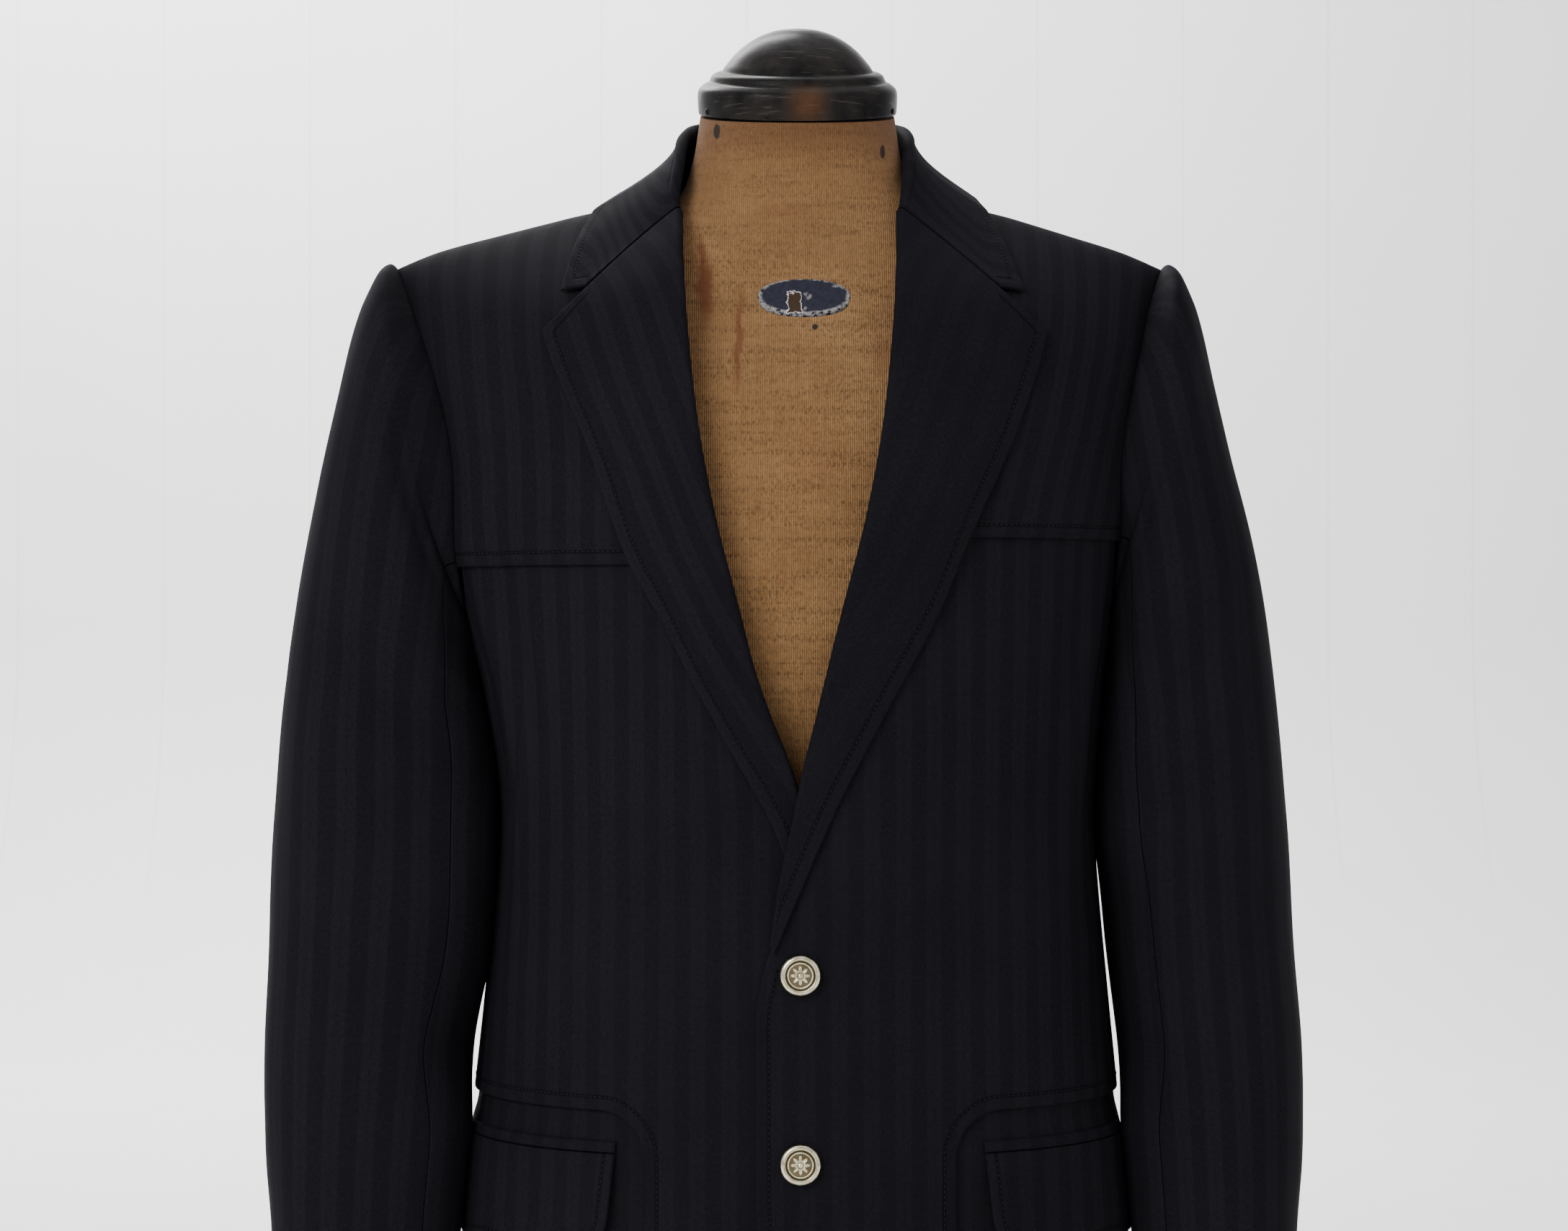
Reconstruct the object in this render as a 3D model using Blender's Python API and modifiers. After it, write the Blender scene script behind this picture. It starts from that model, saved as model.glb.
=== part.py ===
"""Shadow-stripe suit jacket on a limbless dress form.

Metres, +Z up, the front faces -Y, the form's foot stands on Z = 0.
Every cloth panel is a thin wall over one of three shapes: the torso, a sleeve or the collar.
"""

import math

import bmesh
import bpy
from mathutils import Vector

# Driving dimensions of the jacket
SHOULDER_Z = 0.818
ARMHOLE_FLOOR_Z = 0.602
HEM_Z = 0.118
YOKE_SEAM_Z = 0.645
HIP_SEAM_Z = 0.330
HIP_SEAM_X = 0.088
HIP_CORNER_R = 0.027
HIP_LAP = 0.008
YOKE_LAP = 0.008
NECK_POINT_X = 0.074
NECK_POINT_Z = 0.873
NAPE_Z = 0.880
CUTAWAY_Z = 0.290
CLOTH = 0.0018
SEAM_GAP = 0.0003
LAP_LIFT = CLOTH + 0.0010
OVERLAP = 0.025
SIDE_SEAM_FRONT = math.radians(74)
SIDE_SEAM_BACK = math.radians(106)
ARMHOLE_SPREAD_FRONT = math.radians(23)
ARMHOLE_SPREAD_BACK = math.radians(24)
ARMHOLE_SQUARENESS = 0.8
ARMHOLE_STEP = 0.0017
SLEEVE_JOIN = 0.13

# Pocket
WELT_X = 0.104
WELT_END = math.radians(77)
WELT_Z = 0.3130
WELT_TALL = 0.0065
WELT_CLOTH = 0.0018
FLAP_FOOT_Z = 0.250
FLAP_CORNER_R = 0.020
FLAP_CLOTH = 0.0022
FLAP_GAP = 0.0007
FLAP_SWING = 0.004

# Buttons
BUTTON_R = 0.0115
BUTTON_HEIGHTS = {"upper": 0.408, "lower": 0.303}

# The dress form
FORM_FLOOR_Z = 0.088
CAP_Z = 0.909
CAP_Y = -0.004
CAP_TILT = math.radians(12.5)
NECK_R = 0.0585
FOOT_R = 0.150

# Squareness of the torso's sections: 2 is an ellipse, more is boxier
SQUARENESS = 2.3
SHOULDER_ROLL = 0.085
RIDGE_Y = 0.004
RIDGE_GAP = 0.0005

# The torso's outer cloth, a row for each height: z, half width, depth in front, depth behind
TORSO = (
    (0.100, 0.206, 0.141, 0.145),
    (0.200, 0.202, 0.141, 0.143),
    (0.300, 0.195, 0.137, 0.134),
    (0.380, 0.187, 0.131, 0.119),
    (0.460, 0.1795, 0.127, 0.107),
    (0.500, 0.178, 0.127, 0.106),
    (0.560, 0.185, 0.130, 0.113),
    (0.610, 0.195, 0.131, 0.121),
    (0.660, 0.205, 0.128, 0.125),
    (0.720, 0.214, 0.119, 0.122),
    (0.780, 0.226, 0.098, 0.114),
    (0.818, 0.231, 0.074, 0.104),
    (0.850, 0.231, 0.052, 0.091),
    (0.885, 0.231, 0.040, 0.073),
)

# The shoulder line seen from the front: x from the middle, z of the ridge
SHOULDER_LINE = (
    (0.000, 0.935),
    (0.040, 0.913),
    (0.074, 0.873),
    (0.100, 0.8575),
    (0.133, 0.8485),
    (0.170, 0.8385),
    (0.205, 0.8285),
    (0.231, 0.8180),
)

# Soft folds of the torso: angle from the front, z, angle width, height, depth (out is positive)
TORSO_FOLDS = (
    (63, 0.545, 5.0, 0.070, 0.0035),
    (71, 0.520, 3.5, 0.080, -0.0030),
    (56, 0.600, 5.0, 0.050, -0.0020),
    (30, 0.440, 14.0, 0.035, -0.0016),
    (124, 0.560, 7.0, 0.080, 0.0030),
    (138, 0.470, 9.0, 0.060, -0.0025),
    (150, 0.700, 10.0, 0.070, 0.0020),
)

# Lapel, a row for each stretch from the break upwards: roll line x and z, outer edge x and z
LAPEL = (
    (-0.0160, 0.4230, -0.0148, 0.4190),
    (-0.0086, 0.4650, 0.0030, 0.4560),
    (0.0036, 0.5170, 0.0230, 0.5060),
    (0.0160, 0.5670, 0.0470, 0.5530),
    (0.0280, 0.6157, 0.0735, 0.6020),
    (0.0404, 0.6647, 0.0975, 0.6510),
    (0.0500, 0.7145, 0.1180, 0.7010),
    (0.0560, 0.7650, 0.1340, 0.7440),
    (0.0590, 0.8050, 0.1400, 0.7620),
    (0.0600, 0.8450, 0.1430, 0.7730),
)
LAPEL_CLOTH = 0.0022
ROLL_R = 0.0026
ROLL_R_PRESSED = 0.0014
LAPEL_UNDERLAP = 0.007
LAPEL_CLEAR = 0.0010
LAPEL_EDGE_GAP = 0.0010
LAPEL_BELLY = 0.0010
LAPEL_BEND_START = 0.10
LAPEL_BEND_END = 0.42

# Collar, a row for each station from the gorge to the centre back:
# roll x, y, z; outer edge x, y, z; neck seam x, y, z
COLLAR = (
    (0.0600, -0.048, 0.8465, 0.1330, -0.0820, 0.8040, 0.0630, -0.046, 0.8440),
    (0.0620, -0.036, 0.8660, 0.1270, -0.0560, 0.8220, 0.0670, -0.034, 0.8560),
    (0.0635, -0.016, 0.8880, 0.1160, -0.0240, 0.8470, 0.0690, -0.015, 0.8670),
    (0.0640, 0.008, 0.9010, 0.1050, 0.0120, 0.8600, 0.0700, 0.006, 0.8730),
    (0.0580, 0.034, 0.9090, 0.0930, 0.0460, 0.8580, 0.0620, 0.036, 0.8770),
    (0.0350, 0.055, 0.9140, 0.0560, 0.0740, 0.8570, 0.0385, 0.0575, 0.8795),
    (0.0000, 0.062, 0.9160, 0.0000, 0.0850, 0.8560, 0.0000, 0.0655, 0.8805),
)
COLLAR_SAG = 0.0065
COLLAR_BEND_START = 0.22
COLLAR_BEND_END = 0.50
COLLAR_GAP = LAPEL_CLOTH / 2 + 0.0020
COLLAR_END_SHARE = 0.20
NOTCH_ON_LAPEL = 0.665
NOTCH_SHARE = 0.76
COLLAR_TIP = (0.1340, 0.8045)

# Sleeve, a row for each ring from the armhole to the cuff:
# outer x and z, inner x and z, y of the front and of the back
SLEEVE = (
    (0.2310, 0.8180, 0.1945, 0.6020, -0.056, 0.062),
    (0.2345, 0.8190, 0.1965, 0.6005, -0.061, 0.065),
    (0.2405, 0.8110, 0.1980, 0.5980, -0.065, 0.067),
    (0.2510, 0.7860, 0.1970, 0.5930, -0.068, 0.068),
    (0.2600, 0.7450, 0.1950, 0.5850, -0.069, 0.067),
    (0.2726, 0.6900, 0.1910, 0.5720, -0.069, 0.066),
    (0.2865, 0.6250, 0.1875, 0.5530, -0.069, 0.065),
    (0.2945, 0.5600, 0.1835, 0.5230, -0.069, 0.063),
    (0.2999, 0.4950, 0.1825, 0.4780, -0.071, 0.060),
    (0.3045, 0.4300, 0.1860, 0.4220, -0.075, 0.053),
    (0.3065, 0.3650, 0.1930, 0.3610, -0.081, 0.044),
    (0.3030, 0.3050, 0.2000, 0.3040, -0.085, 0.034),
    (0.3005, 0.2550, 0.2050, 0.2550, -0.088, 0.024),
    (0.2985, 0.2050, 0.2085, 0.2060, -0.090, 0.014),
)
SLEEVE_ROUNDNESS = 2.2
SLEEVE_SEAM_FRONT = math.radians(125)
SLEEVE_SEAM_BACK = math.radians(-105)

# Soft folds of the sleeve: angle round it, share of its length, angle width, length, depth
SLEEVE_FOLDS = (
    (95, 0.50, 26.0, 0.050, -0.0050),
    (110, 0.60, 24.0, 0.040, -0.0045),
    (60, 0.58, 22.0, 0.060, 0.0030),
    (-60, 0.44, 30.0, 0.060, 0.0030),
    (-85, 0.56, 22.0, 0.050, -0.0035),
    (20, 0.72, 30.0, 0.050, -0.0025),
    (10, 0.86, 30.0, 0.040, 0.0020),
    (150, 0.33, 24.0, 0.080, -0.0030),
)

FORM_SQUARENESS = 2.2

# The form's rings: side x and z, front y and z, back y and z
FORM = (
    (0.176, FORM_FLOOR_Z, -0.112, FORM_FLOOR_Z, 0.112, FORM_FLOOR_Z),
    (0.183, 0.130, -0.120, 0.130, 0.122, 0.130),
    (0.184, 0.200, -0.123, 0.200, 0.126, 0.200),
    (0.177, 0.290, -0.119, 0.290, 0.119, 0.290),
    (0.167, 0.370, -0.112, 0.370, 0.103, 0.370),
    (0.160, 0.450, -0.108, 0.450, 0.093, 0.450),
    (0.160, 0.510, -0.110, 0.510, 0.093, 0.510),
    (0.169, 0.570, -0.115, 0.570, 0.102, 0.570),
    (0.180, 0.630, -0.118, 0.630, 0.110, 0.630),
    (0.190, 0.690, -0.111, 0.690, 0.112, 0.690),
    (0.199, 0.745, -0.096, 0.745, 0.107, 0.745),
    (0.201, 0.7800, -0.083, 0.772, 0.098, 0.780),
    (0.197, 0.8100, -0.072, 0.790, 0.087, 0.803),
    (0.174, 0.8210, -0.064, 0.804, 0.078, 0.821),
    (0.139, 0.8320, -0.057, 0.822, 0.069, 0.839),
    (0.104, 0.8425, -0.050, 0.841, 0.059, 0.854),
    (0.072, 0.8585, -0.046, 0.860, 0.054, 0.871),
    (0.0600, 0.8820, -0.0500, 0.880, 0.0540, 0.893),
    (0.0575, 0.9080, -0.0610, 0.8948, 0.0530, 0.9212),
)

INK = (0.0075, 0.0078, 0.0100, 1)
JERSEY = (0.26, 0.165, 0.075, 1)
BRONZE = (0.035, 0.030, 0.028, 1)
GILT = (0.78, 0.70, 0.50, 1)
WALNUT = (0.070, 0.036, 0.020, 1)


def clear_scene():
    """Removes what the startup file holds."""
    for item in list(bpy.data.objects):
        bpy.data.objects.remove(item)


def material(name, colour, roughness, metallic=0.0):
    """A Principled material of one plain colour."""
    made = bpy.data.materials.new(name)
    made.use_nodes = True
    shader = made.node_tree.nodes["Principled BSDF"]
    shader.inputs["Base Color"].default_value = colour
    shader.inputs["Roughness"].default_value = roughness
    shader.inputs["Metallic"].default_value = metallic
    return made


def mix(a, b, share):
    """The value a share of the way from a to b."""
    return a + (b - a) * share


def ease(x):
    """A smooth step from 0 to 1."""
    x = min(max(x, 0.0), 1.0)
    return x * x * (3 - 2 * x)


def bell(x):
    """A soft bump of height 1 that ends at -1 and 1."""
    return (1 + math.cos(math.pi * x)) / 2 if abs(x) < 1 else 0.0


def along(table, key):
    """The row of a table at a key held in its first column, on a smooth curve through the rows."""
    last = len(table) - 2
    i = 0
    while i < last and key > table[i + 1][0]:
        i += 1
    before, a, b, after = table[max(i - 1, 0)], table[i], table[i + 1], table[min(i + 2, last + 1)]
    span = b[0] - a[0]
    t = min(max((key - a[0]) / span, 0.0), 1.0)
    row = []
    for c in range(1, len(a)):
        slope_a = (b[c] - before[c]) / (b[0] - before[0]) * span
        slope_b = (after[c] - a[c]) / (after[0] - a[0]) * span
        row.append(
            (2 * t**3 - 3 * t**2 + 1) * a[c]
            + (t**3 - 2 * t**2 + t) * slope_a
            + (3 * t**2 - 2 * t**3) * b[c]
            + (t**3 - t**2) * slope_b
        )
    return row


def numbered(table):
    """The table with each row's share of its length as a first column."""
    return [(i / (len(table) - 1), *row) for i, row in enumerate(table)]


def ridge(x):
    """Height of the shoulder line at x."""
    return along(SHOULDER_LINE, abs(x))[0]


def torso_fold(angle, z):
    """How far the soft folds push the torso's cloth out."""
    degrees = abs(math.degrees(angle))
    return sum(
        depth * bell((degrees - at) / (2 * width)) * bell((z - height) / (2 * tall))
        for at, height, width, tall, depth in TORSO_FOLDS
    )


def torso_point(angle, z):
    """The torso's outer cloth at an angle from the centre front (positive to +X) and a height."""
    half_width, front, back = along(TORSO, z)
    across = abs(math.sin(angle)) ** (2 / SQUARENESS)
    ahead = abs(math.cos(angle)) ** (2 / SQUARENESS)
    x = math.copysign(half_width * across, math.sin(angle))
    in_front = math.cos(angle) > 0
    drop = max(ridge(x) - z, 0.0)
    roll = math.sqrt(1 - (1 - min(drop / SHOULDER_ROLL, 1.0)) ** 2)
    if in_front:
        y = mix(RIDGE_Y - RIDGE_GAP, -front * ahead, roll)
    else:
        y = mix(RIDGE_Y + RIDGE_GAP, back * ahead, roll)
    out = Vector((math.sin(angle), -math.cos(angle), 0))
    return Vector((x, y, z)) + out * torso_fold(angle, z)


def angle_at(x, z):
    """The torso's angle where its front has this x."""
    share = min(abs(x) / along(TORSO, z)[0], 1.0) ** (SQUARENESS / 2)
    return math.copysign(math.asin(share), x)


def armhole(turn):
    """Angle on the torso and height of the armhole seam. Turn 0 is the shoulder point, 90 degrees the
    front, 180 the underarm and -90 the back."""
    middle = (SHOULDER_Z + ARMHOLE_FLOOR_Z) / 2
    z = mix(middle, SHOULDER_Z, math.cos(turn))
    side = math.sin(turn)
    spread = ARMHOLE_SPREAD_FRONT if side > 0 else ARMHOLE_SPREAD_BACK
    return math.radians(90) - math.copysign(spread * abs(side) ** ARMHOLE_SQUARENESS, side), z


def armhole_turn(z):
    """The turn in front at which the armhole has this height."""
    middle = (SHOULDER_Z + ARMHOLE_FLOOR_Z) / 2
    return math.acos(min(max((z - middle) / (SHOULDER_Z - middle), -1.0), 1.0))


def armhole_floor(angle):
    """Height of the armhole's lower edge at an angle between the side seams."""
    swing = math.radians(90) - angle
    spread = ARMHOLE_SPREAD_FRONT if swing > 0 else ARMHOLE_SPREAD_BACK
    side = (abs(swing) / spread) ** (1 / ARMHOLE_SQUARENESS)
    return armhole(math.pi - math.asin(side))[1]


def flap_over(angle, z):
    """How far the overlapping left front stands out, over the right one and its lapel."""
    near_middle = 1 - ease((angle - math.radians(7)) / math.radians(24))
    over_lapel = ease((z - 0.400) / 0.055)
    below_opening = 1 - ease((z - 0.530) / 0.075)
    return near_middle * below_opening * (LAP_LIFT + 0.0034 * over_lapel)


def yoke_lift(z):
    """How far the yoke stands out where it laps over the front."""
    return LAP_LIFT * (1 - ease((z - YOKE_SEAM_Z - YOKE_LAP) / 0.050))


def front_lift(side, angle, z):
    """How far the outer face of a front or its yoke stands out from the torso's plain shape. Below the
    yoke seam it rises ahead of the step, as a lapel does that lies over it."""
    lift = flap_over(angle, z) if side > 0 else 0.0
    return lift + (yoke_lift(z) if z >= YOKE_SEAM_Z else LAP_LIFT * ease((z - YOKE_SEAM_Z) / 0.045 + 1))


def normal_of(surface, u, v):
    """Which way a surface faces at u, v, from its slopes."""
    step = 1e-3
    across = surface(min(u + step, 1), v) - surface(max(u - step, 0), v)
    up = surface(u, min(v + step, 1)) - surface(u, max(v - step, 0))
    return across.cross(up).normalized()


def leaned(x, z):
    """Sideways shift of the shoulders and sleeves, which hang towards the wearer's right."""
    start = mix(mix(0.165, 0.125, ease((z - 0.48) / 0.14)), 0.090, ease((z - 0.76) / 0.08))
    shift = mix(mix(0.0078, 0.0098, ease((z - 0.33) / 0.13)), 0.0118, ease((z - 0.60) / 0.10))
    return -mix(shift, 0.0105, ease((z - 0.75) / 0.08)) * ease((abs(x) - start) / 0.13)


def opened(x, y, z):
    """Sideways shift of the wearer's right lapel and collar, which fall further open than the left."""
    roll = max(roll_x(min(z, LAPEL[-1][1])), 0.012)
    fade = mix(0.065, 0.140, ease((z - 0.68) / 0.10))
    aside = ease((roll - x) / (2 * roll)) * (1 - ease((-roll - x) / fade))
    height = ease((z - 0.485) / 0.105) * (1 - 0.65 * ease((z - 0.845) / 0.045))
    return -0.0105 * aside * height * ease((0.02 - y) / 0.04)


def wall(name, surface, columns, rows, low, high, collection, finish, side=1):
    """A thin closed wall over surface(u, v), between two offsets from it, which may be functions of u and v.
    A side of -1 mirrors it. Columns and rows are counts, or lists of shares from 0 to 1."""
    us = [i / columns for i in range(columns + 1)] if isinstance(columns, int) else columns
    vs = [j / rows for j in range(rows + 1)] if isinstance(rows, int) else rows
    mesh = bmesh.new()
    outer, inner = [], []
    for v in vs:
        for face, offset in ((outer, high), (inner, low)):
            line = []
            for u in us:
                reach = offset(u, v) if callable(offset) else offset
                point = surface(u, v) + normal_of(surface, u, v) * reach
                x = side * point.x
                x += leaned(x, point.z) + opened(x, point.y, point.z)
                line.append(mesh.verts.new((x, point.y, point.z)))
            face.append(line)
    last_column, last_row = len(us) - 1, len(vs) - 1
    for j in range(last_row):
        for i in range(last_column):
            mesh.faces.new((outer[j][i], outer[j][i + 1], outer[j + 1][i + 1], outer[j + 1][i]))
            mesh.faces.new((inner[j][i], inner[j + 1][i], inner[j + 1][i + 1], inner[j][i + 1]))
    for i in range(last_column):
        for j in (0, last_row):
            mesh.faces.new((outer[j][i + 1], outer[j][i], inner[j][i], inner[j][i + 1]))
    for j in range(last_row):
        for i in (0, last_column):
            mesh.faces.new((outer[j][i], outer[j + 1][i], inner[j + 1][i], inner[j][i]))
    bmesh.ops.recalc_face_normals(mesh, faces=mesh.faces)
    return to_object(name, mesh, collection, finish)


def to_object(name, mesh, collection, finish):
    """Makes an object of a bmesh, shaded smooth but for its sharp edges."""
    data = bpy.data.meshes.new(name)
    mesh.to_mesh(data)
    mesh.free()
    data.shade_smooth()
    data.set_sharp_from_angle(angle=math.radians(50))
    data.materials.append(finish)
    made = bpy.data.objects.new(name, data)
    collection.objects.link(made)
    return made


def front_edge_x(z):
    """x of a front's edge: straight past the buttons, rounded away to the hem."""
    cut = max(CUTAWAY_Z - z, 0.0) / (CUTAWAY_Z - HEM_Z)
    return mix(-OVERLAP, 0.070, cut**2.4)


def roll_x(z):
    """x of the roll line at a height."""
    return along([(row[1], row[0]) for row in LAPEL], z)[0]


def front_place(u, v):
    """Angle and height on the main part of a front."""
    z = mix(HEM_Z, YOKE_SEAM_Z + YOKE_LAP, v)
    turned_over = ease((z - LAPEL[0][1] + 0.014) / 0.012)
    edge_x = mix(front_edge_x(z), roll_x(z) + LAPEL_UNDERLAP + LAPEL_CLEAR, turned_over)
    end = SIDE_SEAM_FRONT
    if z > ARMHOLE_FLOOR_Z:
        end = min(end, armhole(armhole_turn(z))[0])
    return mix(angle_at(edge_x, z), end - SEAM_GAP / 0.15, u), z


def front(u, v):
    """Surface of the main part of a front, from its edge to the side seam and the armhole."""
    return torso_point(*front_place(u, v))


def even(u):
    """A share of the way across a rounded panel, closer together where it turns to the side."""
    return (math.sin(math.radians(18 + 49 * u)) - math.sin(math.radians(18))) / 0.6115


def upper_place(start_x, start_z, end_x, end_z, top, u, v):
    """x and height of a row that is level at the foot of an upper panel and follows its top line at v 1."""
    x = mix(start_x, end_x, u)
    drop = mix(top(start_x) - start_z, top(end_x) - end_z, u)
    return x, mix(mix(start_z, end_z, u), top(x) - drop, ease(v / 0.85))


def yoke_place(u, v):
    """x and height on the upper part of a front, from the yoke seam to the shoulder line."""
    rise = 1 - (1 - v) ** 1.6
    end_angle, end_z = armhole(armhole_turn(mix(YOKE_SEAM_Z, SHOULDER_Z, rise)))
    start_z = mix(YOKE_SEAM_Z, NECK_POINT_Z, rise)
    beside_lapel = roll_x(min(start_z, LAPEL[-1][1])) + LAPEL_UNDERLAP + LAPEL_CLEAR
    start_x = mix(beside_lapel, NECK_POINT_X, ease((start_z - 0.80) / 0.073))
    end_x = torso_point(end_angle, end_z).x - SEAM_GAP
    return upper_place(start_x, start_z, end_x, end_z, ridge, even(u), v)


def yoke(u, v):
    """Surface of a front yoke."""
    x, z = yoke_place(u, v)
    return torso_point(angle_at(x, z), z)


def back_top(x):
    """The back's top line: the shoulder line, then the neck seam."""
    return min(ridge(x), mix(NAPE_Z, NECK_POINT_Z, min(x / NECK_POINT_X, 1.0)))


def back(u, v):
    """Surface of a back, from the side seam (u 0) to the centre seam, and from the hem to the shoulder."""
    split = 0.58
    corner_z = armhole_floor(SIDE_SEAM_BACK)
    seam = SEAM_GAP / 0.15
    centre_x = 1.3 * SEAM_GAP
    if v < split:
        z = mix(HEM_Z, corner_z, v / split)
        centre = math.pi - angle_at(centre_x, z)
        return torso_point(mix(SIDE_SEAM_BACK + seam, centre, u), z)
    rise = 1 - (1 - (v - split) / (1 - split)) ** 1.6
    swing = (SIDE_SEAM_BACK - math.pi / 2) / ARMHOLE_SPREAD_BACK
    corner_turn = math.pi - math.asin(swing ** (1 / ARMHOLE_SQUARENESS))
    angle, z = armhole(-mix(corner_turn, 0.0, rise))
    end_x = torso_point(angle, z).x - SEAM_GAP
    x, z = upper_place(end_x, z, centre_x, mix(corner_z, NAPE_Z, rise), back_top, u, rise)
    return torso_point(math.pi - angle_at(x, z), z)


def side_panel(u, v):
    """Surface of a side panel, from the hip seam to the underarm."""
    gap = SEAM_GAP / 0.15
    angle = mix(SIDE_SEAM_FRONT + gap, SIDE_SEAM_BACK - gap, u)
    return torso_point(angle, mix(HIP_SEAM_Z, armhole_floor(angle), v))


def hip_place(u, v):
    """Angle and height on a hip panel, which lies under the front's and the side panel's lapped seam."""
    z = mix(HEM_Z, HIP_SEAM_Z + HIP_LAP, v)
    return mix(angle_at(HIP_SEAM_X - HIP_LAP, z), SIDE_SEAM_BACK - SEAM_GAP / 0.2, u), z


def hip_panel(u, v):
    """Surface of a hip panel."""
    return torso_point(*hip_place(u, v))


def hip_sink(angle, z):
    """How far a hip panel's outer face lies inside, which it does along its lapped seam."""
    x = torso_point(angle, z).x
    under_top = 1 - ease((HIP_SEAM_Z - 0.004 - z) / 0.022)
    under_front = 1 - ease((x - HIP_SEAM_X - 0.004) / 0.016) if angle < math.pi / 2 else 0.0
    return -LAP_LIFT * max(under_top, under_front)


def on_front(x, z):
    """The torso's outer cloth in front at x and z, below the shoulder line."""
    z = min(z, ridge(x) - 0.002)
    return torso_point(angle_at(x, z), z)


def out_of_front(x, z):
    """Which way the front faces at x and z."""
    z = min(z, ridge(x) - 0.006)
    across = on_front(x + 0.002, z) - on_front(x - 0.002, z)
    up = on_front(x, z + 0.002) - on_front(x, z - 0.002)
    return across.cross(up).normalized()


def turned_path(width, fullness, t):
    """Cross-section of cloth that folds back over itself: distance from the roll line and height over
    the panel, for t from 0 at the hidden end to 1 at the outer edge."""
    radius = mix(ROLL_R_PRESSED, ROLL_R, fullness)
    if t < LAPEL_BEND_START:
        return mix(LAPEL_UNDERLAP - SEAM_GAP, 0.0, t / LAPEL_BEND_START), -LAPEL_CLOTH / 2
    if t < LAPEL_BEND_END:
        turn = math.pi * (t - LAPEL_BEND_START) / (LAPEL_BEND_END - LAPEL_BEND_START)
        return -radius * math.sin(turn), -LAPEL_CLOTH / 2 + radius * (1 - math.cos(turn))
    share = (t - LAPEL_BEND_END) / (1 - LAPEL_BEND_END)
    high = -LAPEL_CLOTH / 2 + 2 * radius
    edge = LAPEL_CLOTH / 2 + LAPEL_EDGE_GAP
    return width * share, mix(high, edge, ease(share)) + fullness * LAPEL_BELLY * math.sin(math.pi * share)


def on_lapel(side, row, t):
    """A point in the middle of a lapel's cloth, on the line across it that a row of the table gives."""
    roll_x_, roll_z, edge_x, edge_z = row
    width = math.hypot(edge_x - roll_x_, edge_z - roll_z)
    fullness = ease((roll_z - 0.500) / 0.070)
    reach, height = turned_path(width, fullness, t)
    if t < LAPEL_BEND_END:
        reach *= min(width / 0.012, 1.0)
    x = mix(roll_x_, edge_x, reach / width)
    z = mix(roll_z, edge_z, reach / width)
    return on_front(x, z) + out_of_front(x, z) * (height + front_lift(side, angle_at(x, z), z))


def lapel(side, start):
    """Surface through the middle of a lapel's cloth, from its hidden end round the roll to its edge."""
    return lambda u, v: on_lapel(side, along(numbered(LAPEL), mix(start, 1.0, v)), u)


def over_torso(point):
    """A point's distance from the torso's outer cloth, and which way the cloth faces there."""
    behind = point.y > RIDGE_Y
    z = min(point.z, ridge(point.x) - 0.003)

    def place(x, z):
        angle = angle_at(x, z)
        return torso_point(math.pi - angle if behind else angle, z)

    across = place(point.x + 0.002, z) - place(point.x - 0.002, z)
    up = place(point.x, z + 0.002) - place(point.x, z - 0.002)
    face = across.cross(up).normalized() * (-1 if behind else 1)
    return (point - place(point.x, z)).dot(face), face


def seated(point, least, most=1.0):
    """The point moved so that its distance from the torso lies between two values."""
    for _ in range(4):
        distance, face = over_torso(point)
        point = point + face * (min(max(distance, least), most) - distance)
    return point


def collar_end(u):
    """The middle of the collar's cloth where it meets the lapel along the gorge, up to the notch, and from
    there to the collar's tip."""
    row = Vector(LAPEL[-1])
    along_gorge = Vector((row[2] - row[0], row[3] - row[1])).normalized()
    gap = Vector((-along_gorge.y, along_gorge.x)) * 3 * SEAM_GAP
    shifted = (row[0] + gap.x, row[1] + gap.y, row[2] + gap.x, row[3] + gap.y)
    if u < COLLAR_BEND_START:
        return on_lapel(-1, shifted, LAPEL_BEND_START * u / COLLAR_BEND_START)
    if u < COLLAR_BEND_END:
        share = (u - COLLAR_BEND_START) / (COLLAR_BEND_END - COLLAR_BEND_START)
        return on_lapel(-1, shifted, mix(LAPEL_BEND_START, LAPEL_BEND_END, share))
    share = (u - COLLAR_BEND_END) / (1 - COLLAR_BEND_END)
    notch = mix(LAPEL_BEND_END, 1, NOTCH_ON_LAPEL)
    if share < NOTCH_SHARE:
        return on_lapel(-1, shifted, mix(LAPEL_BEND_END, notch, share / NOTCH_SHARE))
    tip = seated(Vector((COLLAR_TIP[0], -0.08, COLLAR_TIP[1])), COLLAR_GAP, COLLAR_GAP)
    return on_lapel(-1, shifted, notch).lerp(tip, (share - NOTCH_SHARE) / (1 - NOTCH_SHARE))


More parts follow.
